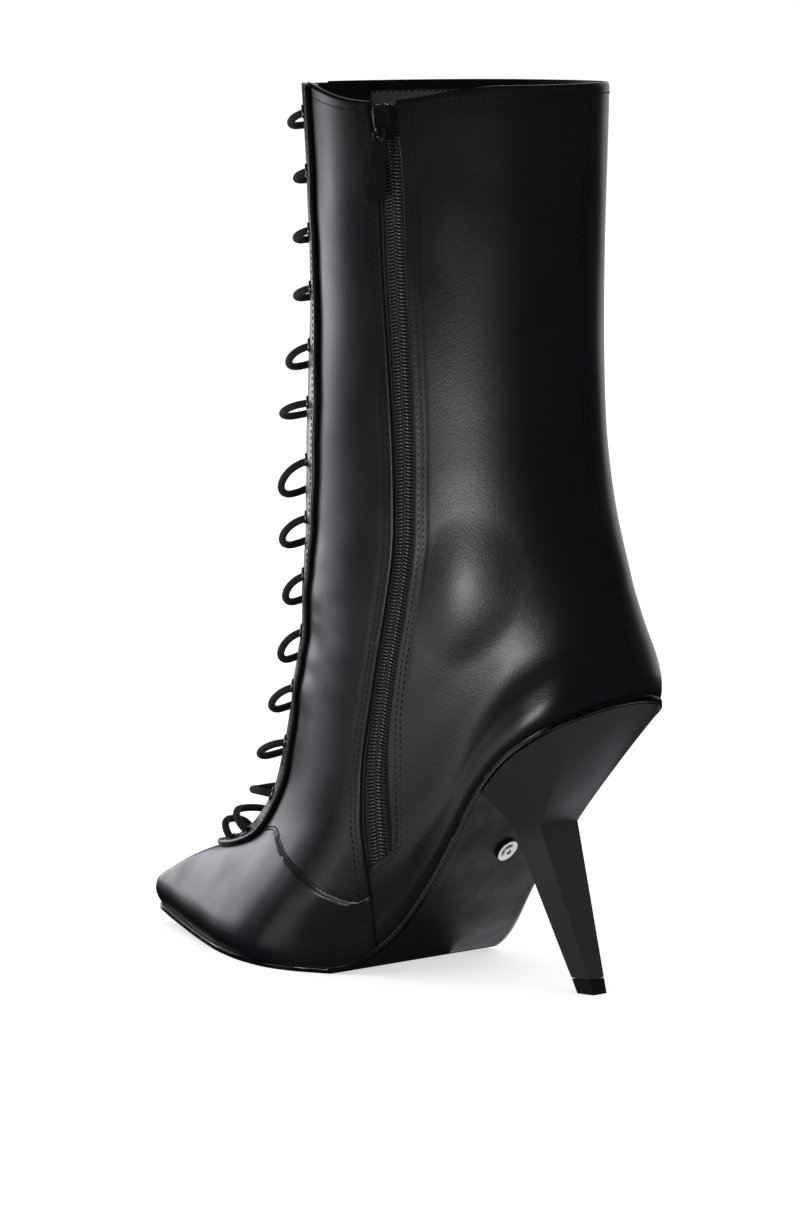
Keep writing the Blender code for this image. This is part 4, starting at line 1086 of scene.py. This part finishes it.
def make_tongue():
    """The tongue: a soft sheet behind the throat, crowned a little towards it."""
    lengths = np.linspace(THROAT_AT - 8, TOP_AT - 0.5, 220)[:, None]
    sides = np.linspace(-1, 1, 34)[None] * TONGUE_HALF
    row, around = ridge_patch(lengths, sides)
    place, out = last_surface(row, around), last_normal(row, around)
    crown = 0.6 * np.cos(sides / TONGUE_HALF * PI / 2) ** 2
    soft = 0.25 * np.sin(lengths / 7.3) * np.cos(sides / 9.0)
    high = -(WALL + GAP) + crown * 0.3 + soft * 0.5 - 0.35
    piece = put_slab(
        "tongue_leather",
        place + out * high[..., None],
        place + out * (high - TONGUE_THICKNESS)[..., None],
        FINISH["leather"],
    )
    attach(piece, "boot")
    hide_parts("tongue")


def eyelet_places():
    """Ridge length and distance from the middle plane of each pair, from the toe up."""
    low, high = THROAT_AT + EYELETS_ABOVE_THROAT, TOP_AT - EYELETS_BELOW_COLLAR
    pairs = [(length, EYELET_SIDE) for length in np.linspace(low, high, len(LACE_BARS) - 1)]
    return [(low - TOE_PAIR_BELOW, TOE_PAIR_SIDE), *pairs]


def make_eyelets():
    """Rolled rings, each a circle carried round a circle, set in the eyestay."""
    places = np.array(eyelet_places())
    lengths = np.repeat(places[:, 0], 2)
    sides = (places[:, 1:] * (-1, 1)).ravel()
    row, around = ridge_patch(lengths, sides)
    out = last_normal(row, around)
    up = square_to(last_surface(row + 0.02, around) - last_surface(row - 0.02, around), out)
    across = np.cross(up, out)
    stand = GAP + EYESTAY_THICKNESS + wear(row, around) * 0.6
    foot = last_surface(row, around) + out * stand[:, None]
    angle = np.linspace(0, 2 * PI, 28, endpoint=False)
    section = np.linspace(0, 2 * PI, 10, endpoint=False)
    ring = EYELET_RING + EYELET_ROLL * np.cos(section)
    height = 0.2 + 0.45 * np.sin(section)
    shape = np.stack(
        [np.cos(angle)[:, None] * ring, np.sin(angle)[:, None] * ring, 0 * angle[:, None] + height], -1
    ).reshape(-1, 3)
    faces = grid_faces(28, 10, True, True)
    piece = joined_copies("eyelets", shape, faces, foot, across, up, out, FINISH["eyelet"])
    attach(piece, "boot")
    count = len(places)
    names = [f"eyelet_{word}_{n:02d}" for word in ("inner", "outer") for n in range(1, count + 1)]
    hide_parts(*names)


def lace_loop(length, half, bow, sag):
    """From inside one eyelet out, over the ridge and into the other: the height over the leather is a
    superellipse of the way across, and the loop hangs down the leg by a cosine."""
    share = np.sin(np.linspace(-1, 1, 61) * PI / 2)
    down = sag * np.cos(PI / 2 * share)
    row, around = ridge_patch(length - down, share * half)
    ends = ridge_patch(np.array([length, length]), np.array([-half, half]))
    normals = last_normal(*ends)
    out = normals[:1] * (1 - share)[:, None] + normals[1:] * (1 + share)[:, None]
    out = unit(out)
    depth = 2.6
    high = LACE_TOP + bow + depth
    height = high * (1 - np.abs(share) ** 3.0) ** 0.5 - depth
    return last_surface(row, around) + out * height[:, None]


def make_laces():
    """The lace, one loop for each pair of eyelets."""
    for number, ((length, half), (bow, sag)) in enumerate(zip(eyelet_places(), LACE_BARS), 1):
        path = lace_loop(length, half, bow, sag)
        piece = put_tube(f"lace_loop_{number:02d}", path, LACE_RADIUS, 14, FINISH["cord"])
        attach(piece, "boot")
        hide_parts(f"lace_{number:02d}")


def zip_frames(rows, shift):
    """Places along the zip with their axes: across it, up along it and outwards."""
    around = beside_zip(rows, shift)
    out = last_normal(rows, around)
    above, below = (last_surface(r, beside_zip(r, shift)) for r in (rows + 0.03, rows - 0.03))
    up = square_to(above - below, out)
    return last_surface(rows, around), np.cross(up, out), up, out


def slider_frame():
    """The slider's middle on the leather's outer face, and unit vectors across, up and out."""
    collar = float(last_surface(LAST_ROW, beside_zip(LAST_ROW, 0))[2])
    row = row_at(lambda r: beside_zip(r, 0), collar - SLIDER_BELOW_COLLAR - SLIDER_LENGTH / 2)
    middle = last_surface(row, beside_zip(row, 0))
    above, below = (last_surface(r, beside_zip(r, 0)) for r in (row + 0.3, row - 0.3))
    up = unit(above - below)
    out = last_normal(row, beside_zip(row, 0))
    out = unit(out - up * (out @ up))
    return middle, np.cross(up, out), up, out, row


def make_zip():
    """Tape, the coil's loops one by one, the cords inside them and the rows of stitching."""
    low_row = row_at(lambda r: beside_zip(r, 0), ZIP_BOTTOM_HEIGHT - 5)
    rows = np.linspace(low_row, LAST_ROW - 0.05, 200)
    shares = np.linspace(-1, 1, 26)
    around = np.stack([beside_zip(rows, -share * ZIP_TAPE_WIDTH / 2) for share in shares], 1)
    grid_rows = np.repeat(rows[:, None], len(shares), 1)
    place, out = last_surface(grid_rows, around), last_normal(grid_rows, around)
    groove = 0.25 * bump_at(shares[None], 0, 0.05)
    level = -(WALL + TAPE_GAP) + 0.55 - groove + 0 * grid_rows
    level = level - 0.5 * ease(np.abs(shares), 0.42, 0.55)
    tape = put_slab(
        "zip_tape_cloth",
        place + out * level[..., None],
        place + out * (level - 0.5)[..., None],
        FINISH["tape"],
    )
    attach(tape, "boot")
    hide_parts("zip_tape")

    slider_row = slider_frame()[4]
    rows = np.linspace(ZIP_FOOT_ROW + 0.02, slider_row, 2000)
    run = run_along(last_surface(rows, beside_zip(rows, 0)))
    count = int(run[-1] / COIL_PITCH)
    at = (np.arange(count) + 0.5) * run[-1] / count
    tooth_rows = np.interp(at, run, rows)
    place, across, up, out = zip_frames(tooth_rows, 0.0)
    # A loop: up from the tape's edge, over to the middle, where its head swells, and down again
    t = np.linspace(0, 1, 12)
    reach = 4.6 - 4.8 * np.sin(t * PI / 2) ** 0.9
    height = -1.1 + 1.55 * np.sin(t * PI) ** 0.6 * (1 - 0.25 * t) + 0.15 * t
    skew = 0.9 * (t - 0.5)
    thick = 0.40 + 0.10 * ease(t, 0.75, 0.95)
    section = np.linspace(0, 2 * PI, 8, endpoint=False)
    tangent = unit(np.gradient(np.stack([reach, height], -1), axis=0))
    ring = np.stack(
        [
            reach[:, None] + -tangent[:, 1:2] * np.cos(section) * thick[:, None],
            skew[:, None] + np.sin(section) * thick[:, None] * 1.2,
            height[:, None] + tangent[:, 0:1] * np.cos(section) * thick[:, None],
        ],
        -1,
    )
    start = ring[:1].mean(1, keepdims=True) + 0 * ring[:1]
    stop = ring[-1:].mean(1, keepdims=True) + 0 * ring[-1:]
    ring = np.concatenate([start, ring, stop])
    shape = ring.reshape(-1, 3)
    faces = grid_faces(len(ring), 8, wrap_columns=True)
    base = -(WALL + TAPE_GAP) + 1.35
    place = place + out * base
    teeth = []
    for hand in (1.0, -1.0):
        shift = up * (COIL_PITCH / 2 if hand < 0 else 0.0)
        teeth.append(
            joined_copies(
                "zip_loops_front" if hand > 0 else "zip_loops_back",
                shape * (hand, 1, 1),
                faces if hand > 0 else faces[:, ::-1],
                place + shift,
                across,
                up,
                out,
                FINISH["nylon"],
            )
        )
    cores = []
    for shift, word in ((-3.3, "front"), (3.3, "back")):
        rows = np.linspace(ZIP_FOOT_ROW + 0.02, slider_row, 160)
        centre, _, _, outward = zip_frames(rows, shift)
        cores.append(
            put_tube(f"zip_cord_{word}", centre + outward * (base - 0.75), 0.55, 8, FINISH["tape"])
        )
    for piece in teeth:
        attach(piece, "boot")
        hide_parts("zip_coil")
    for piece in cores:
        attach(piece, "boot")
    # The rows of stitching that hold each coil to its tape
    for shift in (-2.6, 2.6):
        rows = np.linspace(ZIP_FOOT_ROW + 0.05, slider_row, 300)
        stitch_along(rows, beside_zip(rows, shift), base + 0.42, COIL_PITCH, 1.0)


def rounded_block(outline, low, high, bevel):
    """Rings of a flat block: the outline drawn in at both ends along a quarter circle."""
    outline = np.asarray(outline, float)
    centre = outline.mean(0)
    angle = np.linspace(0, PI / 2, 4)
    rings = []
    size = np.abs(outline - centre).max()
    for a in angle:
        rings.append((outline - centre) * (1 - bevel * (1 - math.sin(a)) / size) + centre)
    levels = list(low + bevel * (1 - np.cos(angle))) + list(high - bevel * (1 - np.cos(angle[::-1])))
    rings = rings + rings[::-1]
    stack = [np.concatenate([r, np.full((len(r), 1), z)], 1) for r, z in zip(rings, levels)]
    first = stack[0].mean(0, keepdims=True) + 0 * stack[0]
    last = stack[-1].mean(0, keepdims=True) + 0 * stack[-1]
    return np.array([first, *stack, last])


def smooth_outline(corners):
    """A closed outline whose corners are rounded by cutting each one three times."""
    path, pull = np.asarray(corners, float), 0.35
    for _ in range(3):
        after = np.roll(path, -1, 0)
        path = np.stack([path * (1 - pull) + after * pull, path * pull + after * (1 - pull)], 1)
        path = path.reshape(-1, 2)
    return path


def in_frame(points, origin, across, up, out):
    """Points given as (across, up, out) placed in a frame."""
    points = np.asarray(points, float)
    return origin + points[..., 0:1] * across + points[..., 1:2] * up + points[..., 2:3] * out


def make_slider():
    """Slider plates with side flanges, the arched bridge, and the waisted pull tab hung in it."""
    middle, across, up, out, _ = slider_frame()
    top = SLIDER_BASE + SLIDER_THICKNESS
    half, long = SLIDER_WIDTH / 2, SLIDER_LENGTH / 2
    corners = (
        (-half * 0.7, -long), (half * 0.7, -long), (half * 0.92, -long * 0.35), (half, long * 0.35),
        (half * 0.8, long), (0, long * 0.86), (-half * 0.8, long), (-half, long * 0.35),
        (-half * 0.92, -long * 0.35),
    )
    rings = rounded_block(smooth_outline(corners), SLIDER_BASE, top, 0.55)
    crown = 0.35 * (1 - (rings[..., 0] / half) ** 2) * (rings[..., 2] > SLIDER_BASE + 0.5)
    rings[..., 2] += crown
    n = rings.shape[1]
    pieces = [
        put_mesh(
            "slider_body",
            in_frame(rings, middle, across, up, out).reshape(-1, 3),
            grid_faces(len(rings), n, wrap_columns=True),
            FINISH["black_metal"],
        )
    ]
    reach = BRIDGE_LENGTH / 2 - BRIDGE_BAR / 2
    t = np.linspace(0, PI, 25)
    bridge = np.stack(
        [0 * t, -reach * np.cos(t), top - 0.3 + (BRIDGE_HEIGHT - 0.35) * np.sin(t) ** 0.35], -1
    )
    pieces.append(
        put_tube("slider_bridge", in_frame(bridge, middle, across, up, out), 0.62, 10, FINISH["black_metal"])
    )
    for side in (-1, 1):
        lengths = np.linspace(-long * 0.8, long * 0.8, 14)
        rail = np.array([(side * half * 0.86, u, SLIDER_BASE + 0.1) for u in lengths])
        pieces.append(
            put_tube(
                "slider_rail_front" if side > 0 else "slider_rail_back",
                in_frame(rail, middle, across, up, out),
                0.7,
                8,
                FINISH["black_metal"],
            )
        )
    for piece in pieces:
        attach(piece, "boot")
        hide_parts("zip_slider")

    inside = BRIDGE_LENGTH / 2 - BRIDGE_BAR
    pin = middle + up * (-inside + PULL_THICKNESS / 2 + GAP) + out * (top + (BRIDGE_HEIGHT - BRIDGE_BAR) / 2)
    end = -PULL_LENGTH + 0.6
    # Half-width of the tab down its length, and the window round the bridge
    u = np.concatenate([np.linspace(0.7, -5.4, 24), np.linspace(-5.6, end, 40)])
    width = smooth(
        (
            (end, 4.3),
            (end + 0.5, 4.6),
            (end + 3.5, 4.5),
            (end + 9, 3.8),
            (end + 14, 3.4),
            (-5.4, 3.3),
            (-2.0, 3.25),
            (0.2, 3.0),
            (0.7, 2.4),
        ),
        1,
        u,
    )
    window = 1.75 * np.sqrt(np.clip(1 - ((u + 2.45) / 2.1) ** 2, 0, 1))
    wave = 0.35 * np.sin((u + 3) / (end + 3) * 2 * PI) * ease(-u, 3, 8)
    lean = -PULL_LEAN * np.clip(PULL_RING_LOW - u, 0, None)
    points, faces = [], []
    for side in (-1, 1):
        share = np.linspace(0, 1, 9)
        a = window[:, None] + (width - window)[:, None] * share
        edge = np.minimum(a - window[:, None], width[:, None] - a)
        puff = 0.6 * np.sqrt(np.clip(1 - (1 - np.clip(edge / 0.5, 0, 1)) ** 2, 0, 1))
        puff = np.where((window < 0.02)[:, None] & (share < 0.5), 0.6, puff)
        ends = np.clip(np.minimum(0.72 - u, u - end + 0.02) / 0.5, 0, 1)
        puff = puff * np.sqrt(1 - (1 - ends[:, None]) ** 2)
        grid_u = np.repeat(u[:, None], 9, 1)
        across_by = side * a + lean[:, None]
        high = np.stack([across_by, grid_u, wave[:, None] + puff], -1)
        low = np.stack([across_by, grid_u, wave[:, None] - puff], -1)
        ring = np.concatenate([high, low[:, ::-1]], 1)
        start = sum(len(part) for part in points)
        round_faces = grid_faces(len(u), 18, wrap_columns=True, start=start)
        points.append(in_frame(ring, pin, across, up, out).reshape(-1, 3))
        faces.append(round_faces if side < 0 else round_faces[:, ::-1])
    tab = put_mesh("pull_tab_plate", np.concatenate(points), np.concatenate(faces), FINISH["black_metal"])
    bar = np.array([(a, 0.0, 0.0) for a in np.linspace(-2.6, 2.6, 12)])
    pin_bar = put_tube("pull_tab_bar", in_frame(bar, pin, across, up, out), 0.55, 10, FINISH["black_metal"])
    for piece in (tab, pin_bar):
        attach(piece, "pull_tab")
        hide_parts("pull_tab")


def ruled(inset, turns, count):
    """The sole's outline moved in by inset and ruled from side to side: its line of x, the grid's x
    and y, and the shares across."""
    along = (1 - np.cos(PI * turns)) / 2
    x = HEEL_LENGTH - inset - along * (HEEL_LENGTH + TOE_LENGTH - 2 * inset)
    inner, outer = half_widths(x, inset)
    share = np.linspace(-1, 1, count)
    y = np.where(share < 0, share * inner[:, None], share * outer[:, None])
    return x, np.repeat(x[:, None], count, 1), y, share


def make_sole():
    """Outsole: a rim of rounded edge and a lower face, both ruled across the sole's profile."""
    turns = np.linspace(0.004, 0.996, 300)
    along = (1 - np.cos(PI * turns)) / 2
    edge_profile = (
        # out, up as shares of the ledge and the thickness
        (-2.5, 0.0),
        (0.0, 0.0),
        (0.75, -0.02),
        (0.98, -0.15),
        (1.0, -0.32),
        (0.72, -0.42),
        (0.72, -0.50),
        (1.0, -0.60),
        (1.0, -0.85),
        (0.75, -0.98),
        (0.3, -1.0),
    )
    rings = []
    for out_by, share in edge_profile:
        inset = -out_by * SOLE_LEDGE
        x = HEEL_LENGTH - inset - along * (HEEL_LENGTH + TOE_LENGTH - 2 * inset)
        inner, outer = half_widths(x, inset)
        z = sole_top(x) + along_sole(x, SOLE_THICKNESS * share)
        line = np.concatenate(
            [np.stack([x, -inner, z], -1), np.stack([x, outer, z], -1)[::-1]]
        )
        rings.append(line)
    rings = np.array(rings)
    n = rings.shape[1]
    rim = np.concatenate([rings, [(rings[-1] * (0.985, 0.94, 1)) + (0, 0, 0.25)]])
    faces = grid_faces(len(rim), n, wrap_rows=True, wrap_columns=True)
    rim_piece = put_mesh("sole_edge_rim", rim.reshape(-1, 3), faces, FINISH["edge"])
    # Lower face: straight strips from side to side
    x, xs, y, share = ruled(0.4, turns, 41)
    level = (sole_top(x) - along_sole(x, SOLE_THICKNESS))[:, None] + 0 * y
    inset_line = 0.18 * ease(1 - np.abs(share), 0.04, 0.09)[None] * ease(np.abs(x), 20, 34)[:, None]
    low = np.stack([xs, y, level + inset_line * 0.6], -1)
    high = np.stack([xs, y, level + 1.0], -1)
    bottom = put_slab("sole_tread", low, high, FINISH["tread"])
    # Upper face of the sole inside the upper
    high = np.stack([xs, y * 0.97, level + along_sole(x, SOLE_THICKNESS)[:, None] + 0 * y], -1)
    inside = put_slab("sole_inside", high, high - (0, 0, 0.6), FINISH["tread"])
    for piece in (rim_piece, bottom, inside):
        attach(piece, "boot")
        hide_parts("outsole")


def make_insole():
    """Sock lining: a soft sheet on the sole with a rounded edge."""
    x, xs, y, share = ruled(WALL + INSOLE_CLEARANCE, np.linspace(0.03, 0.97, 160), 40)
    edge = 0.8 * (1 - ease(1 - np.abs(share), 0, 0.05))[None]
    top = (sole_top(x) + along_sole(x, GAP + INSOLE_THICKNESS))[:, None] - edge + 0 * y
    low = (sole_top(x) + along_sole(x, GAP))[:, None] + 0 * y
    piece = put_slab("sock_lining", np.stack([xs, y, top], -1), np.stack([xs, y, low], -1), FINISH["lining"])
    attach(piece, "boot")
    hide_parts("insole")


def make_stud():
    """Domed rivet with a dimple and a ring groove, turned about the sole's normal."""
    slope = float(sole_top(STUD_X + 1) - sole_top(STUD_X - 1)) / 2
    down = np.array([slope, 0, -1]) / math.hypot(slope, 1)
    forward = np.array([1, 0, slope]) / math.hypot(slope, 1)
    across = np.array([0, 1.0, 0])
    foot = np.array([STUD_X, STUD_Y, float(sole_top(STUD_X))]) + down * (SOLE_THICKNESS + 2.2 * GAP)
    profile = np.array(
        [
            (0.0, -1.2), (STUD_RADIUS, -1.2), (STUD_RADIUS, 0.35), (STUD_RADIUS * 0.97, 0.62),
            (STUD_RADIUS * 0.86, 0.78), (STUD_RADIUS * 0.78, 0.70), (STUD_RADIUS * 0.70, 0.78),
            (STUD_RADIUS * 0.52, 1.12), (STUD_RADIUS * 0.36, 1.30), (STUD_RADIUS * 0.24, 1.28),
            (STUD_RADIUS * 0.16, 0.95), (0.0, 0.85),
        ]
    )
    angle = np.linspace(0, 2 * PI, 48, endpoint=False)
    r, h = profile[:, 0:1], profile[:, 1:2]
    points = (
        foot
        + (r * np.cos(angle))[..., None] * forward
        + (r * np.sin(angle))[..., None] * across
        + (h + 0 * angle)[..., None] * down
    )
    piece = put_mesh(
        "stud_dome", points.reshape(-1, 3), grid_faces(len(profile), 48, wrap_columns=True), FINISH["metal"]
    )
    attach(piece, "boot")
    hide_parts("sole_stud")


def stem_ring(height, lean, sides, backs):
    """A ring of the stem, straight between the floor (lean 0) and the kink (1): along the inner side,
    across the back and down the outer side. The front edge of the kink lies lower than its back."""

    def between(tip, kink):
        return tip + (kink - tip) * lean

    front_x = between(TIP_X - TIP_HALF_LENGTH, HEEL_BREAST_X)
    back_x = between(TIP_X + TIP_HALF_LENGTH, KINK_BACK_X)
    front_half = between(TIP_FRONT_HALF, KINK_FRONT_HALF)
    back_half = between(TIP_BACK_HALF, KINK_BACK_HALF)
    along = np.concatenate([sides, np.ones(len(backs))])
    across = np.concatenate([np.zeros(len(sides)), backs])
    x = front_x + (back_x - front_x) * along
    half = (front_half + (back_half - front_half) * along) * (1 - across)
    z = height - KINK_FRONT_DROP * lean * (1 - along)
    pairs = ((x, x), (-half, half), (z, z))
    return np.stack([np.concatenate([there, back[::-1]]) for there, back in pairs], -1)


def make_heel():
    """The covered heel as one loft: stem, kink and the block that widens to the seat."""
    sides = np.linspace(0, 1, 16)
    backs = np.array([0.15, 0.4, 0.65, 0.85, 0.97])
    rim = HEEL_LENGTH + SOLE_LEDGE - HEEL_INSET
    x = HEEL_BREAST_X + (rim - HEEL_ROUNDING - HEEL_BREAST_X) * sides
    x = np.concatenate([x, rim - HEEL_ROUNDING * (1 - backs) ** 2])
    inner, outer = half_widths(x, HEEL_INSET - SOLE_LEDGE)
    xs = np.concatenate([x, x[::-1]])
    ys = np.concatenate([-inner, outer[::-1]])
    seat = np.stack([xs, ys, sole_top(xs) - along_sole(xs, SOLE_THICKNESS + GAP)], -1)
    low = TOP_PIECE_HEIGHT + GAP
    rings = []
    for height in np.linspace(low, KINK_HEIGHT, 16):
        ring = stem_ring(height, height / KINK_HEIGHT, sides, backs)
        ring[:, 2] = ring[:, 2] * (height - low > 0.01) + low * (height - low <= 0.01)
        rings.append(ring)
    kink = rings[-1]
    for share in np.linspace(0, 1, 20)[1:]:
        ring = kink + (seat - kink) * share
        ring[:, 1] = kink[:, 1] + (seat[:, 1] - kink[:, 1]) * share**1.25
        rings.append(ring)
    rings = np.array(rings)
    count = rings.shape[1]
    faces = grid_faces(len(rings), count, wrap_columns=True)
    i = np.arange(count // 2 - 1)
    cap = np.stack([i, i + 1, count - 2 - i, count - 1 - i], -1)
    last = (len(rings) - 1) * count
    faces = np.concatenate([faces, cap[:, ::-1], cap + last])
    piece = put_mesh("heel_block", rings.reshape(-1, 3), faces, FINISH["cover"], None, 22.0)
    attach(piece, "boot")
    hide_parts("heel")
    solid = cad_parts["top_piece"]
    solid.data.materials.clear()
    solid.data.materials.append(FINISH["tip"])


def make_studio():
    """Floor, soft lights and the camera at the photograph's angle."""
    size = 3.0
    mesh = bpy.data.meshes.new("floor")
    corners = [(-size, -size, 0), (size, -size, 0), (size, size, 0), (-size, size, 0)]
    mesh.from_pydata(corners, [], [(0, 1, 2, 3)])
    floor = bpy.data.objects.new("floor", mesh)
    mesh.materials.append(FINISH["floor"])
    bpy.context.scene.collection.objects.link(floor)

    floor.visible_glossy = False
    world = bpy.data.worlds.new("studio")
    world.use_nodes = True
    world.node_tree.nodes["Background"].inputs["Color"].default_value = (1, 1, 1, 1)
    world.node_tree.nodes["Background"].inputs["Strength"].default_value = 1.05
    bpy.context.scene.world = world
    world.cycles_visibility.glossy = False
    bpy.context.scene.view_settings.view_transform = "Standard"

    def softbox(name, place, target, width, height, brightness, colour):
        """A soft light of this brightness; its power is that times pi times its area."""
        light = bpy.data.lights.new(name, "AREA")
        light.shape = "RECTANGLE"
        light.color = colour
        light.size, light.size_y, light.energy = width, height, brightness * PI * width * height
        made = bpy.data.objects.new(name, light)
        made.location = place
        direction = Vector(target) - Vector(place)
        made.rotation_euler = direction.to_track_quat("-Z", "Y").to_euler()
        made.visible_camera = False
        bpy.context.scene.collection.objects.link(made)

    cool, plain = (0.92, 0.94, 1.0), (1.0, 0.99, 0.98)
    softbox("strip_left", (-1.4, -0.06, 0.28), (0.0, 0.0, 0.22), 0.26, 0.30, 4.2, cool)
    softbox("strip_low", (-1.4, -0.10, 0.06), (0.0, 0.0, 0.15), 0.26, 0.12, 1.0, cool)
    softbox("floor_left", (-0.80, -0.14, 0.002), (-0.80, -0.14, 1.0), 0.60, 0.24, 2.2, cool)
    softbox("ankle_box", (-0.035, -0.31, 0.12), (0.08, -0.03, 0.13), 0.055, 0.055, 22.0, plain)
    softbox("heel_box", (-0.20, -0.32, 0.03), (0.10, -0.02, 0.06), 0.20, 0.12, 0.9, cool)
    softbox("toe_box", (-0.565, 0.14, 0.14), (-0.1, 0.0, 0.03), 0.22, 0.16, 3.0, cool)
    softbox("backdrop", (-0.5, 1.6, 0.5), (0.0, 0.0, 0.15), 2.0, 1.2, 1.0, cool)
    softbox("floor_glow", (-0.32, 0.16, 0.002), (-0.32, 0.16, 1.0), 0.30, 0.26, 0.9, cool)
    softbox("arch_glow", (0.055, 0.07, 0.002), (0.055, 0.07, 1.0), 0.11, 0.11, 0.8, cool)

    # Found from the photograph: angles, focal length in its pixels, its height and the camera's place
    azimuth, pitch = math.radians(45), math.radians(7.06)
    focal_pixels, photo_height, sensor = 7650, 1209, 36.0
    place = (1.8726, -1.8567, 0.450)
    back = (math.sin(azimuth) * math.cos(pitch), -math.cos(azimuth) * math.cos(pitch), math.sin(pitch))
    right = (math.cos(azimuth), math.sin(azimuth), 0.0)
    up = (-math.sin(azimuth) * math.sin(pitch), math.cos(azimuth) * math.sin(pitch), math.cos(pitch))
    camera = bpy.data.cameras.new("photo_camera")
    camera.sensor_fit = "VERTICAL"
    camera.sensor_height = sensor
    camera.lens = focal_pixels / photo_height * sensor
    camera.clip_end = 20.0
    made = bpy.data.objects.new("photo_camera", camera)
    made.matrix_world = Matrix([*zip(right, up, back, place), (0, 0, 0, 1)])
    bpy.context.scene.collection.objects.link(made)
    bpy.context.scene.camera = made


make_studio()
make_upper()
make_eyestay()
make_tongue()
make_eyelets()
make_laces()
make_zip()
make_slider()
make_sole()
make_insole()
make_stud()
make_heel()
stitches = make_stitches()
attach(stitches, "boot")
